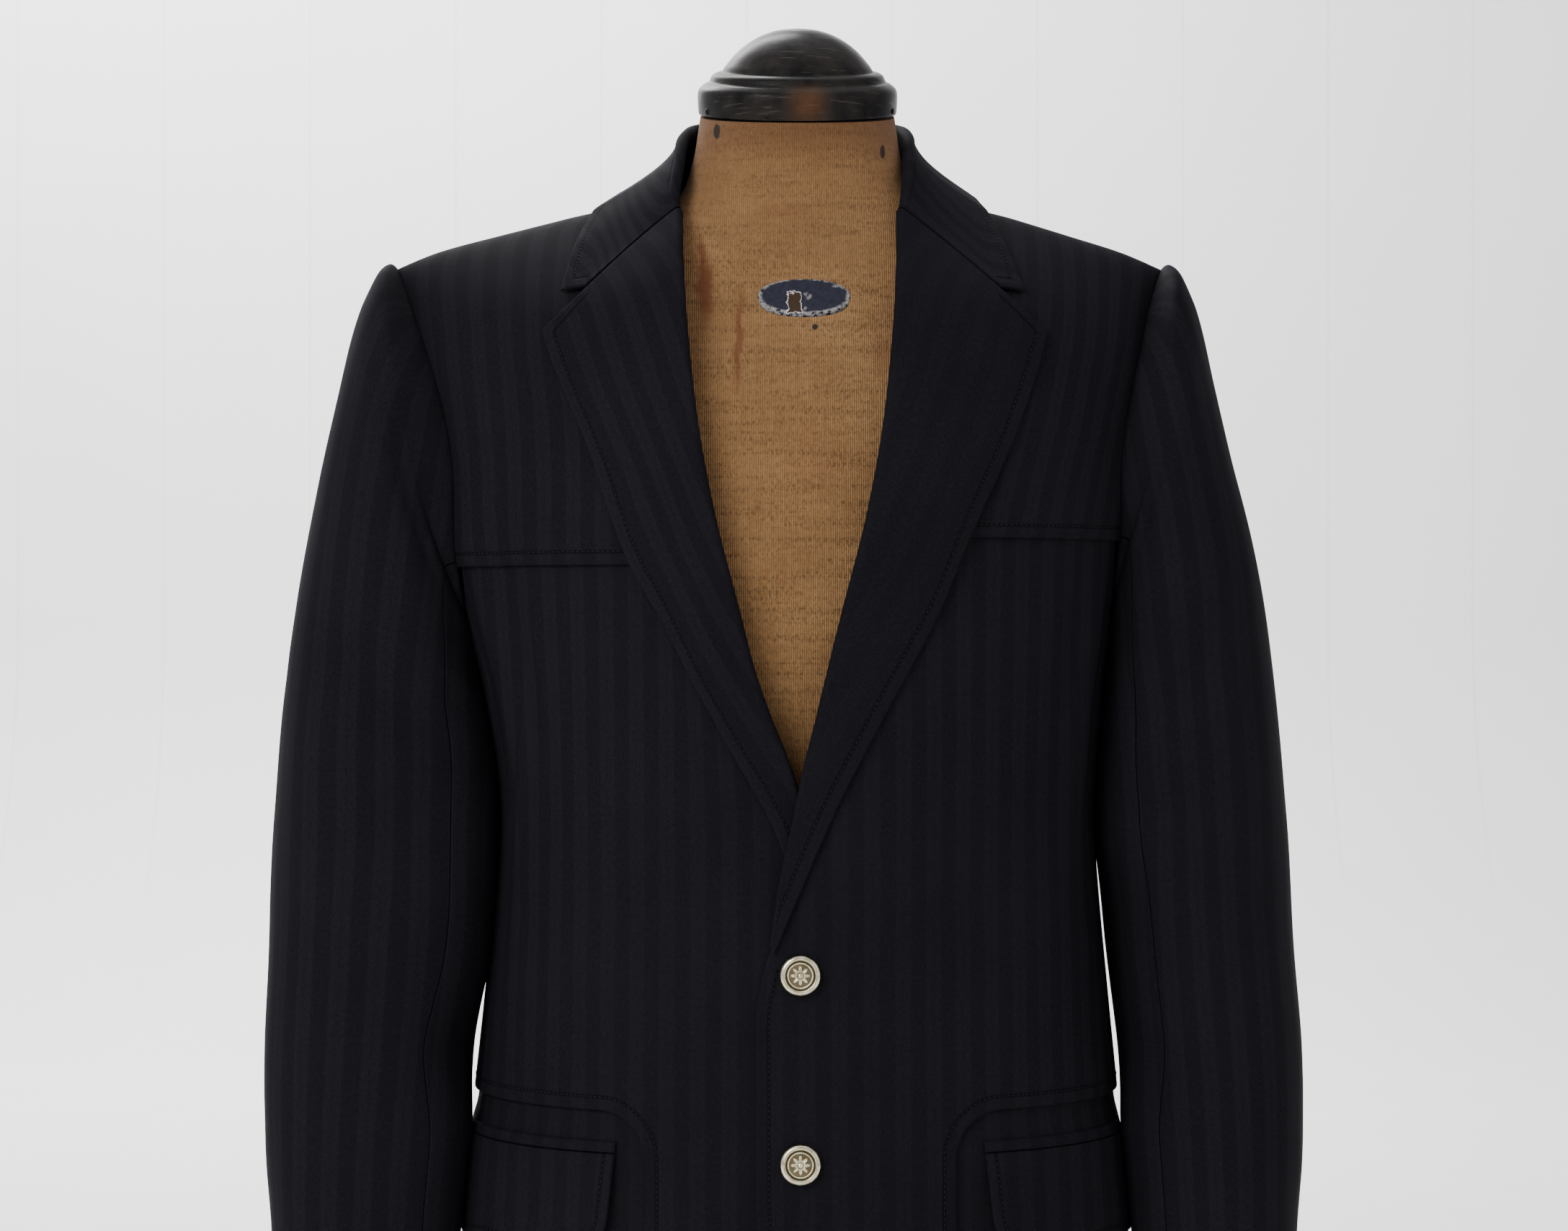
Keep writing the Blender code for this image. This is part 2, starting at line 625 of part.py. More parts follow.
def collar(u, v):
    """Surface through the middle of the collar's cloth: u 0 at the neck seam, up the stand, round the
    roll and down to the outer edge at u 1; v 0 at the left gorge, 1 at the right one."""
    side = 1 if v <= 0.5 else -1
    rows = list(COLLAR)
    for row in reversed(COLLAR[:-1]):
        rows.append((-row[0], row[1], row[2], -row[3], row[4], row[5], -row[6], row[7], row[8]))
    row = along(numbered(rows), v)
    roll, edge, seam = Vector(row[0:3]), Vector(row[3:6]), Vector(row[6:9])
    edge = seated(edge, COLLAR_GAP, COLLAR_GAP)
    outward = Vector((edge.x - roll.x, edge.y - roll.y, 0)).normalized()
    centre = roll - Vector((0, 0, ROLL_R)) + outward * ROLL_R
    if u < COLLAR_BEND_START:
        point = seam.lerp(centre - outward * ROLL_R, u / COLLAR_BEND_START)
    elif u < COLLAR_BEND_END:
        turn = math.pi * (u - COLLAR_BEND_START) / (COLLAR_BEND_END - COLLAR_BEND_START)
        point = centre - outward * ROLL_R * math.cos(turn) + Vector((0, 0, ROLL_R * math.sin(turn)))
    else:
        share = (u - COLLAR_BEND_END) / (1 - COLLAR_BEND_END)
        sag = COLLAR_SAG * abs(outward.x) * math.sin(math.pi * share**0.8)
        point = (centre + outward * ROLL_R).lerp(edge, share) - outward * sag
        point = seated(point, COLLAR_GAP)
    end = collar_end(u)
    end.x *= side
    return end.lerp(point, ease(min(v, 1 - v) * 2 / COLLAR_END_SHARE))


def sleeve_ring(turn, share):
    """A sleeve's plain outline: turn 0 is its outer side, 90 degrees the front, 180 the inner side."""
    outer_x, outer_z, inner_x, inner_z, front_y, back_y = along(numbered(SLEEVE), share)
    across = math.copysign(abs(math.cos(turn)) ** (2 / SLEEVE_ROUNDNESS), math.cos(turn))
    ahead = math.copysign(abs(math.sin(turn)) ** (2 / SLEEVE_ROUNDNESS), math.sin(turn))
    x = mix((outer_x + inner_x) / 2, outer_x, across)
    z = mix((outer_z + inner_z) / 2, outer_z, across)
    return Vector((x, mix((front_y + back_y) / 2, front_y, ahead), z))


def sleeve_point(turn, share):
    """A sleeve's outer cloth with its folds, starting along the armhole seam."""
    degrees = math.degrees(turn)
    fold = sum(
        depth * bell(((degrees - at + 180) % 360 - 180) / (2 * width)) * bell((share - place) / (2 * length))
        for at, place, width, length, depth in SLEEVE_FOLDS
    )
    seam = torso_point(*armhole(turn))
    past_yoke = bell((seam.z - YOKE_SEAM_Z - 0.015) / 0.060) if math.sin(turn) > 0 else 0.0
    seam.x += ARMHOLE_STEP + LAP_LIFT * past_yoke
    to_seam = (seam - sleeve_ring(turn, 0)) * (1 - ease(share / SLEEVE_JOIN))
    upper_arm = bell((share - 0.56) / 0.14)
    tuck = (0.0040 * upper_arm + 0.0065 * ease((share - 0.76) / 0.10)) * bell(((degrees % 360) - 145) / 55)
    out = Vector((math.cos(turn), -math.sin(turn), 0)) * fold
    return sleeve_ring(turn, share) + to_seam + out - Vector((tuck, 0, 0))


def sleeve_part(start, end):
    """Surface of a sleeve between two turns."""
    gap = SEAM_GAP / 0.08

    def surface(u, v):
        return sleeve_point(mix(end - gap, start + gap, u), v)

    return surface


def hip_trim_place(u, v, z_foot, z_top, corner):
    """Angle and height on a welt or a flap, from its front end to its end at the side. A flap has
    rounded lower corners and a front edge that swings away from upright."""
    z = mix(z_foot, z_top, v)
    start_x, end = WELT_X, WELT_END
    if corner:
        past = min(max(z_foot + corner - z, 0.0) / corner, 1.0)
        inset = 1 - math.sqrt(1 - past**2)
        start_x += corner * inset + FLAP_SWING * (1 - v)
        end -= math.radians(4) * inset
    return mix(angle_at(start_x, z), end, u), z


def welt_place(u, v):
    """Angle and height on a pocket welt."""
    return hip_trim_place(u, v, WELT_Z - WELT_TALL, WELT_Z, 0)


def flap_place(u, v):
    """Angle and height on a pocket flap."""
    return hip_trim_place(u, v, FLAP_FOOT_Z, WELT_Z - WELT_TALL - SEAM_GAP, FLAP_CORNER_R)


def flap_low(u, v):
    """The inner face of a pocket flap over the panel: close at the welt, free at its foot and front."""
    down = 1 - v
    return hip_sink(*flap_place(u, v)) + FLAP_GAP + 0.0020 * down + 0.0050 * down * (1 - ease(u / 0.30))


def turned(name, profile, steps, collection, finish):
    """A solid of revolution about Z: an outline of radius and height from the top of its outside down."""
    data = bpy.data.meshes.new(name)
    points = [(radius, 0, height) for radius, height in profile]
    data.from_pydata(points, [(i, i + 1) for i in range(len(points) - 1)], [])
    made = bpy.data.objects.new(name, data)
    data.materials.append(finish)
    collection.objects.link(made)
    screw = made.modifiers.new("turn", "SCREW")
    screw.steps = screw.render_steps = steps
    screw.use_merge_vertices = True
    screw.merge_threshold = 0.0001
    return made


def button(name, height, collection, finish):
    """A domed metal button with a rounded rim and a raised middle, on the left front."""
    profile = [(0.0, 0.0046), (0.0032, 0.0044), (0.0062, 0.0036), (0.0072, 0.0026), (0.0082, 0.0030)]
    profile += [(0.0096, 0.0040), (0.0109, 0.0035), (BUTTON_R, 0.0022), (0.0106, 0.0008), (0.0030, 0.0003)]
    profile += [(0.0022, 0.0), (0.0, 0.0)]
    made = turned(name, profile, 24, collection, finish)
    angle = 0.0
    cloth_y = torso_point(angle, height).y - flap_over(angle, height)
    slope = (torso_point(angle, height + 0.01).y - torso_point(angle, height - 0.01).y) / 0.02
    made.rotation_euler.x = math.pi / 2 - math.atan(slope)
    made.location = (0, cloth_y - 2 * SEAM_GAP, height)
    return made


def dress_form(collection, finish):
    """The form's body, from its flat floor up to the neck, as one closed solid."""
    columns, rows = 28, len(FORM)
    mesh = bmesh.new()
    rings = []
    for side_x, side_z, front_y, front_z, back_y, back_z in FORM:
        ring = []
        for i in range(columns):
            angle = 2 * math.pi * i / columns
            ahead = math.cos(angle)
            reach = abs(ahead) ** (2 / FORM_SQUARENESS)
            x = math.copysign(side_x * abs(math.sin(angle)) ** (2 / FORM_SQUARENESS), math.sin(angle))
            y = (front_y if ahead > 0 else back_y) * reach
            z = mix(side_z, front_z if ahead > 0 else back_z, reach)
            ring.append(mesh.verts.new((x + leaned(x, z), y, z)))
        rings.append(ring)
    for j in range(rows - 1):
        for i in range(columns):
            k = (i + 1) % columns
            mesh.faces.new((rings[j][i], rings[j][k], rings[j + 1][k], rings[j + 1][i]))
    mesh.faces.new(rings[0])
    mesh.faces.new(rings[-1])
    bmesh.ops.recalc_face_normals(mesh, faces=mesh.faces)
    return to_object("dress_form_body", mesh, collection, finish)


def hip_cutter(side, collection):
    """The prism that cuts a front along its curved hip seam."""
    outline = [(0.260, HEM_Z - 0.05), (HIP_SEAM_X, HEM_Z - 0.05)]
    for i in range(9):
        turn = math.radians(180 - 90 * i / 8)
        centre = (HIP_SEAM_X + HIP_CORNER_R, HIP_SEAM_Z - HIP_CORNER_R)
        outline.append((centre[0] + HIP_CORNER_R * math.cos(turn), centre[1] + HIP_CORNER_R * math.sin(turn)))
    outline.append((0.260, HIP_SEAM_Z))
    mesh = bmesh.new()
    near, far = -0.22, -0.01
    faces = [mesh.faces.new([mesh.verts.new((side * x, y, z)) for x, z in outline]) for y in (near, far)]
    for i in range(len(outline)):
        k = (i + 1) % len(outline)
        mesh.faces.new((faces[0].verts[i], faces[0].verts[k], faces[1].verts[k], faces[1].verts[i]))
    bmesh.ops.recalc_face_normals(mesh, faces=mesh.faces)
    data = bpy.data.meshes.new("hip_cutter")
    mesh.to_mesh(data)
    mesh.free()
    made = bpy.data.objects.new("hip_cutter", data)
    made.hide_render = True
    made.display_type = "WIRE"
    collection.objects.link(made)
    return made


def build_body(side, word, jacket, cutters, cloth):
    """The panels of one side of the jacket's body."""

    def hip_high(u, v):
        return hip_sink(*hip_place(u, v))

    def hip_low(u, v):
        return hip_high(u, v) - CLOTH

    def front_high(u, v):
        return flap_over(*front_place(u, v)) if side > 0 else 0.0

    def yoke_high(u, v):
        x, z = yoke_place(u, v)
        return front_lift(side, angle_at(x, z), z)

    made = wall(f"front_{word}", front, 13, 16, lambda u, v: front_high(u, v) - CLOTH, front_high, jacket, cloth, side)
    cut = made.modifiers.new("hip_seam", "BOOLEAN")
    cut.object = hip_cutter(side, cutters)
    cut.operation = "DIFFERENCE"
    cut.solver = "EXACT"
    rows = [0, 0.11, 0.22, 0.33, 0.44, 0.55, 0.66, 0.77, 0.86, 0.93, 0.97, 1]
    wall(f"front_yoke_{word}", yoke, 10, rows, lambda u, v: yoke_high(u, v) - CLOTH, yoke_high, jacket, cloth, side)
    wall(f"side_panel_{word}", side_panel, 6, 9, -CLOTH, 0.0, jacket, cloth, side)
    rows = [j / 20 for j in range(18)] + [0.90, 0.94, 0.97, 0.985, 1]
    wall(f"back_{word}", back, 9, rows, -CLOTH, 0.0, jacket, cloth, side)
    columns = [0, 0.045, 0.075, 0.106, 0.18, 0.27, 0.36, 0.46, 0.56, 0.67, 0.78, 0.89, 1]
    rows = [0, 0.15, 0.30, 0.45, 0.60, 0.73, 0.83, 0.88, 0.92, 0.945, 1]
    wall(f"hip_panel_{word}", hip_panel, columns, rows, hip_low, hip_high, jacket, cloth, side)

    def welt_low(u, v):
        return hip_sink(*welt_place(u, v)) + FLAP_GAP

    def welt_high(u, v):
        return welt_low(u, v) + WELT_CLOTH - 0.0006 * abs(2 * v - 1)

    def flap_high(u, v):
        return flap_low(u, v) + FLAP_CLOTH

    def welt(u, v):
        return torso_point(*welt_place(u, v))

    def flap(u, v):
        return torso_point(*flap_place(u, v))

    wall(f"pocket_welt_{word}", welt, 12, 2, welt_low, welt_high, jacket, cloth, side)
    wall(f"pocket_flap_{word}", flap, 12, 7, flap_low, flap_high, jacket, cloth, side)


def build_sleeve(side, word, jacket, cloth):
    """The two parts of a sleeve."""
    rows = [0, 0.03, 0.075, 0.13, 0.19, 0.25] + [mix(0.31, 1.0, j / 13) for j in range(14)]
    top = sleeve_part(SLEEVE_SEAM_BACK, SLEEVE_SEAM_FRONT)
    under = sleeve_part(SLEEVE_SEAM_FRONT, SLEEVE_SEAM_BACK + 2 * math.pi)
    wall(f"sleeve_top_{word}", top, 14, rows, -CLOTH, 0.0, jacket, cloth, side)
    wall(f"sleeve_under_{word}", under, 8, rows, -CLOTH, 0.0, jacket, cloth, side)


def build_collar(jacket, cloth):
    """The collar, whose left half is mirrored, and the two lapels."""
    columns = [0, 0.12, 0.22, 0.29, 0.36, 0.43, 0.50, 0.60, 0.70, 0.79, 0.88, 0.94, 1]
    rows = [0, 0.02, 0.045, 0.07, 0.10]
    rows += [mix(0.14, 0.86, j / 14) for j in range(15)]
    rows += [0.90, 0.93, 0.955, 0.98, 1]
    wall("collar", collar, columns, rows, -LAPEL_CLOTH / 2, LAPEL_CLOTH / 2, jacket, cloth)
    columns = [0, 0.10, 0.18, 0.26, 0.34, 0.42, 0.52, 0.64, 0.76, 0.88, 1]
    for side, word, start in ((1, "left", 0.0), (-1, "right", 0.14)):
        wall(f"lapel_{word}", lapel(side, start), columns, 14, -LAPEL_CLOTH / 2, LAPEL_CLOTH / 2, jacket, cloth, side)


def build_form(jacket):
    """The dress form: body, bronzed neck cap and turned wooden foot."""
    dress_form(jacket, material("form_jersey", JERSEY, 0.95))
    profile = [(0.0, 0.0545), (0.0125, 0.0530), (0.0245, 0.0480), (0.0350, 0.0395), (0.0425, 0.0300), (0.0455, 0.0245)]
    profile += [(0.0475, 0.0243), (0.0510, 0.0225), (0.0530, 0.0190), (0.0555, 0.0178), (0.0585, 0.0155)]
    profile += [(0.0597, 0.0125), (0.0597, 0.0), (0.0, 0.0)]
    cap = turned("neck_cap", profile, 32, jacket, material("bronzed_cap", BRONZE, 0.35, 0.8))
    cap.rotation_euler.x = CAP_TILT
    cap.location = (0, CAP_Y, CAP_Z)
    top = FORM_FLOOR_Z - SEAM_GAP
    profile = [(0.0, top), (0.070, top), (0.072, top - 0.008), (0.050, top - 0.014), (0.034, 0.056), (0.032, 0.048)]
    profile += [(0.042, 0.040), (0.080, 0.033), (0.118, 0.027), (0.141, 0.020), (FOOT_R, 0.011), (FOOT_R, 0.0), (0.0, 0.0)]
    turned("form_foot", profile, 36, jacket, material("walnut", WALNUT, 0.4))


def main():
    """Builds every piece."""
    clear_scene()
    jacket = bpy.data.collections.new("suit_jacket_on_dress_form")
    cutters = bpy.data.collections.new("cutters")
    for collection in (jacket, cutters):
        bpy.context.scene.collection.children.link(collection)
    cloth = material("shadow_stripe_wool", INK, 0.75)
    gilt = material("gilt_button", GILT, 0.3, 1.0)
    for side, word in ((1, "left"), (-1, "right")):
        build_body(side, word, jacket, cutters, cloth)
        build_sleeve(side, word, jacket, cloth)
    build_collar(jacket, cloth)
    for word, height in BUTTON_HEIGHTS.items():
        button(f"button_{word}", height, jacket, gilt)
    build_form(jacket)


main()
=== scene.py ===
"""Shadow-stripe suit jacket on a limbless dress form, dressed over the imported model.

Metres, +Z up, the front faces -Y. Each cloth piece is a fine shell that follows the same torso, sleeve and
collar shapes as the solids do, with its creases, seams, stripes and topstitching.
"""

import math

import bpy
import numpy as np
from mathutils import Matrix, Vector
from mathutils.bvhtree import BVHTree


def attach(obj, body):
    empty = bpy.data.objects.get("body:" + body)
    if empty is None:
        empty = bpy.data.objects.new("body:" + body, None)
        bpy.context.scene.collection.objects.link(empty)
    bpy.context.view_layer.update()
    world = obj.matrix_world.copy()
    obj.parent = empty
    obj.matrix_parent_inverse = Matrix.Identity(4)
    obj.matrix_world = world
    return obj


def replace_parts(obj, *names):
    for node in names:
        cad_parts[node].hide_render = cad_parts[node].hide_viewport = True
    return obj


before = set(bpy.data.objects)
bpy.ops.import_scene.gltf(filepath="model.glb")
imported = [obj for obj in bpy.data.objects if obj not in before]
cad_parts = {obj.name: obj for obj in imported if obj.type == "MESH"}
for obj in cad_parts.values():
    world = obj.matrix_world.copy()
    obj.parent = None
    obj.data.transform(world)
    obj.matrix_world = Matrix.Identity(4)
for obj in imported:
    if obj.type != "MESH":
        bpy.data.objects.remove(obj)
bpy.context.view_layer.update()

# Camera
CAMERA_HEIGHT = 0.610
CAMERA_DISTANCE = 2.0
CAMERA_AZIMUTH = math.radians(-0.5)
CAMERA_LENS = 76.4
AIM_X = -0.008

# Sizes of the jacket and the form, as in the solids
SHOULDER_Z = 0.818
ARMHOLE_FLOOR_Z = 0.602
HEM_Z = 0.118
YOKE_SEAM_Z = 0.645
YOKE_LAP = 0.008
HIP_SEAM_Z = 0.330
HIP_SEAM_X = 0.088
HIP_CORNER_R = 0.027
HIP_LAP = 0.008
NECK_POINT_X = 0.074
NECK_POINT_Z = 0.873
NAPE_Z = 0.880
CUTAWAY_Z = 0.290
CLOTH = 0.0018
SEAM_GAP = 0.0003
LAP_LIFT = CLOTH + 0.0010
EDGE_ROUND = 0.0011
EDGE_DROP = 0.0008
OVERLAP = 0.025
FRONT_INTO_ROLL = 0.0092
ANGLE_GAP = SEAM_GAP / 0.15
TOPSTITCH = 0.0075
FLAP_TOPSTITCH = 0.006
TOPSTITCH_TOP_Z = 0.412
NO_SEAM = 0.05
SIDE_SEAM_FRONT = math.radians(74)
SIDE_SEAM_BACK = math.radians(106)
ARMHOLE_SPREAD_FRONT = math.radians(23)
ARMHOLE_SPREAD_BACK = math.radians(24)
ARMHOLE_SQUARENESS = 0.8
SLEEVE_JOIN = 0.13
WELT_X = 0.104
WELT_END = math.radians(77)
WELT_Z = 0.3130
WELT_TALL = 0.0065
WELT_CLOTH = 0.0018
FLAP_FOOT_Z = 0.250
FLAP_CORNER_R = 0.020
FLAP_CLOTH = 0.0022
FLAP_GAP = 0.0007
FLAP_SWING = 0.004
BUTTON_R = 0.0115
BUTTON_HEIGHTS = {"upper": 0.408, "lower": 0.303}
CAP_Z = 0.909
CAP_Y = -0.004
CAP_TILT = math.radians(12.5)
SQUARENESS = 2.3
SHOULDER_ROLL = 0.085
RIDGE_Y = 0.004
RIDGE_GAP = 0.0005
LAPEL_CLOTH = 0.0022
ROLL_R = 0.0026
ROLL_R_PRESSED = 0.0014
LAPEL_UNDERLAP = 0.007
LAPEL_UNDER_FLAP = 0.0034
LAPEL_RIGHT_START = 0.14
OPEN_RIGHT = 0.0105
LAPEL_CLEAR = 0.0010
LAPEL_EDGE_GAP = 0.0010
LAPEL_BELLY = 0.0010
LAPEL_BEND_START = 0.10
LAPEL_BEND_END = 0.42
COLLAR_SAG = 0.0065
COLLAR_BEND_START = 0.22
COLLAR_BEND_END = 0.50
COLLAR_GAP = LAPEL_CLOTH / 2 + 0.0020
COLLAR_END_SHARE = 0.20
NOTCH_ON_LAPEL = 0.665
NOTCH_SHARE = 0.76
COLLAR_TIP = (0.1340, 0.8045)
SLEEVE_ROUNDNESS = 2.2
SLEEVE_SEAM_FRONT = math.radians(125)
SLEEVE_SEAM_BACK = math.radians(-105)
FORM_SQUARENESS = 2.2
FORM_FLOOR_Z = 0.088
STRIPE = 0.018
STRIPE_START = 0.0045

# What only this scene has
YOKE_RISE_LEFT = 0.0090
YOKE_DROP_RIGHT = 0.0065
TUCK_UPPER_ARM = 0.0080
TUCK_FOREARM = 0.0115
TUCK_UNDERARM = 0.0060
CAP_RAISE = 0.0018
NAIL_TURNS = (-108, -19, 48, 95, 150, 205)
NAIL_Z = 0.0030
BUTTON_STEPS = 144
LABEL_X = 0.003
LABEL_Z = 0.7952
LABEL_HALF = (0.0268, 0.0105)
LABEL_BACK_Z = 0.792
LABEL_BACK_HALF = (0.0260, 0.0095)
LABEL_RINGS = 10
LABEL_STEPS = 96
WALL_Y = 3.0
SWEEP_R = 0.6
STAGE_HALF = 3.4
BOARD = 0.2186
BOARD_JOINT_X = 0.475 + BOARD / 2

# The torso's outer cloth: z, half width, depth in front, depth behind
TORSO = np.array((
    (0.100, 0.206, 0.141, 0.145),
    (0.200, 0.202, 0.141, 0.143),
    (0.300, 0.195, 0.137, 0.134),
    (0.380, 0.187, 0.131, 0.119),
    (0.460, 0.1795, 0.127, 0.107),
    (0.500, 0.178, 0.127, 0.106),
    (0.560, 0.185, 0.130, 0.113),
    (0.610, 0.195, 0.131, 0.121),
    (0.660, 0.205, 0.128, 0.125),
    (0.720, 0.214, 0.119, 0.122),
    (0.780, 0.226, 0.098, 0.114),
    (0.818, 0.231, 0.074, 0.104),
    (0.850, 0.231, 0.052, 0.091),
    (0.885, 0.231, 0.040, 0.073),
))

# The shoulder line: x, z of the ridge
SHOULDER_LINE = np.array((
    (0.000, 0.935),
    (0.040, 0.913),
    (0.074, 0.873),
    (0.100, 0.8575),
    (0.133, 0.8485),
    (0.170, 0.8385),
    (0.205, 0.8285),
    (0.231, 0.8180),
))

# Soft folds of the torso: angle from the front, z, angle width, height, depth (out is positive)
TORSO_FOLDS = (
    (63, 0.545, 5.0, 0.070, 0.0035),
    (71, 0.520, 3.5, 0.080, -0.0030),
    (56, 0.600, 5.0, 0.050, -0.0020),
    (30, 0.440, 14.0, 0.035, -0.0016),
    (124, 0.560, 7.0, 0.080, 0.0030),
    (138, 0.470, 9.0, 0.060, -0.0025),
    (150, 0.700, 10.0, 0.070, 0.0020),
)

# Lapel: roll line x and z, outer edge x and z
LAPEL = np.array((
    (-0.0160, 0.4230, -0.0148, 0.4190),
    (-0.0086, 0.4650, 0.0010, 0.4565),
    (0.0036, 0.5170, 0.0220, 0.5060),
    (0.0160, 0.5670, 0.0460, 0.5530),
    (0.0280, 0.6157, 0.0735, 0.6020),
    (0.0404, 0.6647, 0.0975, 0.6510),
    (0.0500, 0.7145, 0.1180, 0.7010),
    (0.0560, 0.7650, 0.1340, 0.7440),
    (0.0590, 0.8050, 0.1400, 0.7620),
    (0.0600, 0.8450, 0.1430, 0.7730),
))

# Collar from the gorge to the centre back: roll xyz, outer edge xyz, neck seam xyz
COLLAR = np.array((
    (0.0600, -0.048, 0.8465, 0.1330, -0.0820, 0.8040, 0.0630, -0.046, 0.8440),
    (0.0620, -0.036, 0.8660, 0.1270, -0.0560, 0.8220, 0.0670, -0.034, 0.8560),
    (0.0635, -0.016, 0.8880, 0.1160, -0.0240, 0.8470, 0.0690, -0.015, 0.8670),
    (0.0640, 0.008, 0.9010, 0.1050, 0.0120, 0.8600, 0.0700, 0.006, 0.8730),
    (0.0580, 0.034, 0.9090, 0.0930, 0.0460, 0.8580, 0.0620, 0.036, 0.8770),
    (0.0350, 0.055, 0.9140, 0.0560, 0.0740, 0.8570, 0.0385, 0.0575, 0.8795),
    (0.0000, 0.062, 0.9160, 0.0000, 0.0850, 0.8560, 0.0000, 0.0655, 0.8805),
))

# Sleeve rings from the armhole to the cuff: outer x and z, inner x and z, front y, back y
SLEEVE = np.array((
    (0.2310, 0.8180, 0.1945, 0.6020, -0.056, 0.062),
    (0.2345, 0.8190, 0.1965, 0.6005, -0.061, 0.065),
    (0.2405, 0.8110, 0.1980, 0.5980, -0.065, 0.067),
    (0.2510, 0.7860, 0.1970, 0.5930, -0.068, 0.068),
    (0.2600, 0.7450, 0.1950, 0.5850, -0.069, 0.067),
    (0.2726, 0.6900, 0.1910, 0.5720, -0.069, 0.066),
    (0.2865, 0.6250, 0.1875, 0.5530, -0.069, 0.065),
    (0.2945, 0.5600, 0.1835, 0.5230, -0.069, 0.063),
    (0.2999, 0.4950, 0.1825, 0.4780, -0.071, 0.060),
    (0.3045, 0.4300, 0.1860, 0.4220, -0.075, 0.053),
    (0.3065, 0.3650, 0.1930, 0.3610, -0.081, 0.044),
    (0.3030, 0.3050, 0.2000, 0.3040, -0.085, 0.034),
    (0.3005, 0.2550, 0.2050, 0.2550, -0.088, 0.024),
    (0.2985, 0.2050, 0.2085, 0.2060, -0.090, 0.014),
))

# Middle of a sleeve: z, x, y
SLEEVE_AXIS = np.array((
    (0.180, 0.254, -0.040),
    (0.300, 0.252, -0.026),
    (0.430, 0.245, -0.011),
    (0.600, 0.238, -0.002),
    (0.720, 0.222, 0.000),
    (0.830, 0.196, 0.002),
))

# Soft folds of the sleeve: angle round it, share of its length, angle width, length, depth
SLEEVE_FOLDS = (
    (95, 0.50, 26.0, 0.050, -0.0050),
    (110, 0.60, 24.0, 0.040, -0.0045),
    (60, 0.58, 22.0, 0.060, 0.0030),
    (-60, 0.44, 30.0, 0.060, 0.0030),
    (-85, 0.56, 22.0, 0.050, -0.0035),
    (20, 0.72, 30.0, 0.050, -0.0025),
    (10, 0.86, 30.0, 0.040, 0.0020),
    (150, 0.33, 24.0, 0.080, -0.0030),
)


def mix(a, b, share):
    """The value a share of the way from a to b."""
    return a + (b - a) * share


def ease(x):
    """A smooth step from 0 to 1."""
    x = np.clip(x, 0.0, 1.0)
    return x * x * (3 - 2 * x)


def bell(x):
    """A soft bump of height 1 that ends at -1 and 1."""
    return np.where(np.abs(x) < 1, (1 + np.cos(np.pi * np.clip(x, -1, 1))) / 2, 0.0)


def power(x, exponent):
    """x to a power, keeping its sign."""
    return np.sign(x) * np.abs(x) ** exponent


def along(table, key):
    """Columns of a table at keys held in its first column, on smooth curves through the rows."""
    key = np.asarray(key, float)
    last = len(table) - 1
    i = np.clip(np.searchsorted(table[:, 0], key, side="left") - 1, 0, last - 1)
    before, a, b, after = table[np.maximum(i - 1, 0)], table[i], table[i + 1], table[np.minimum(i + 2, last)]
    span = (b - a)[..., :1]
    t = np.clip((key[..., None] - a[..., :1]) / span, 0.0, 1.0)
    slope_a = (b - before) / (b - before)[..., :1] * span
    slope_b = (after - a) / (after - a)[..., :1] * span
    row = (2 * t**3 - 3 * t**2 + 1) * a + (t**3 - 2 * t**2 + t) * slope_a
    row += (3 * t**2 - 2 * t**3) * b + (t**3 - t**2) * slope_b
    return np.moveaxis(row[..., 1:], -1, 0)


def numbered(table):
    """The table with each row's share of its length as a first column."""
    return np.column_stack((np.linspace(0, 1, len(table)), table))


def unit(v):
    """Vectors of length 1."""
    return v / np.maximum(np.linalg.norm(v, axis=-1, keepdims=True), 1e-12)


def stack(*coordinates):
    """Points of their coordinates."""
    return np.stack(np.broadcast_arrays(*coordinates), axis=-1)


def wrapped(degrees):
    """Degrees between -180 and 180."""
    return (degrees + 180) % 360 - 180


def ridge(x):
    """Height of the shoulder line at x."""
    return along(SHOULDER_LINE, np.abs(x))[0]


def torso_fold(angle, z):
    """How far the soft folds push the torso's cloth out."""
    degrees = np.abs(np.degrees(angle))
    return sum(
        depth * bell((degrees - at) / (2 * width)) * bell((z - height) / (2 * tall))
        for at, height, width, tall, depth in TORSO_FOLDS
    )


def torso_point(angle, z):
    """The torso's outer cloth at an angle from the centre front (positive to +X) and a height."""
    angle, z = np.broadcast_arrays(np.asarray(angle, float), np.asarray(z, float))
    half_width, front, back = along(TORSO, z)
    x = half_width * power(np.sin(angle), 2 / SQUARENESS)
    ahead = np.abs(np.cos(angle)) ** (2 / SQUARENESS)
    drop = np.maximum(ridge(x) - z, 0.0)
    roll = np.sqrt(1 - (1 - np.minimum(drop / SHOULDER_ROLL, 1.0)) ** 2)
    in_front = mix(RIDGE_Y - RIDGE_GAP, -front * ahead, roll)
    behind = mix(RIDGE_Y + RIDGE_GAP, back * ahead, roll)
    y = np.where(np.cos(angle) > 0, in_front, behind)
    fold = torso_fold(angle, z)
    return stack(x + np.sin(angle) * fold, y - np.cos(angle) * fold, z)


def angle_at(x, z):
    """The torso's angle where its front has this x."""
    share = np.minimum(np.abs(x) / along(TORSO, z)[0], 1.0) ** (SQUARENESS / 2)
    return np.copysign(np.arcsin(share), x)


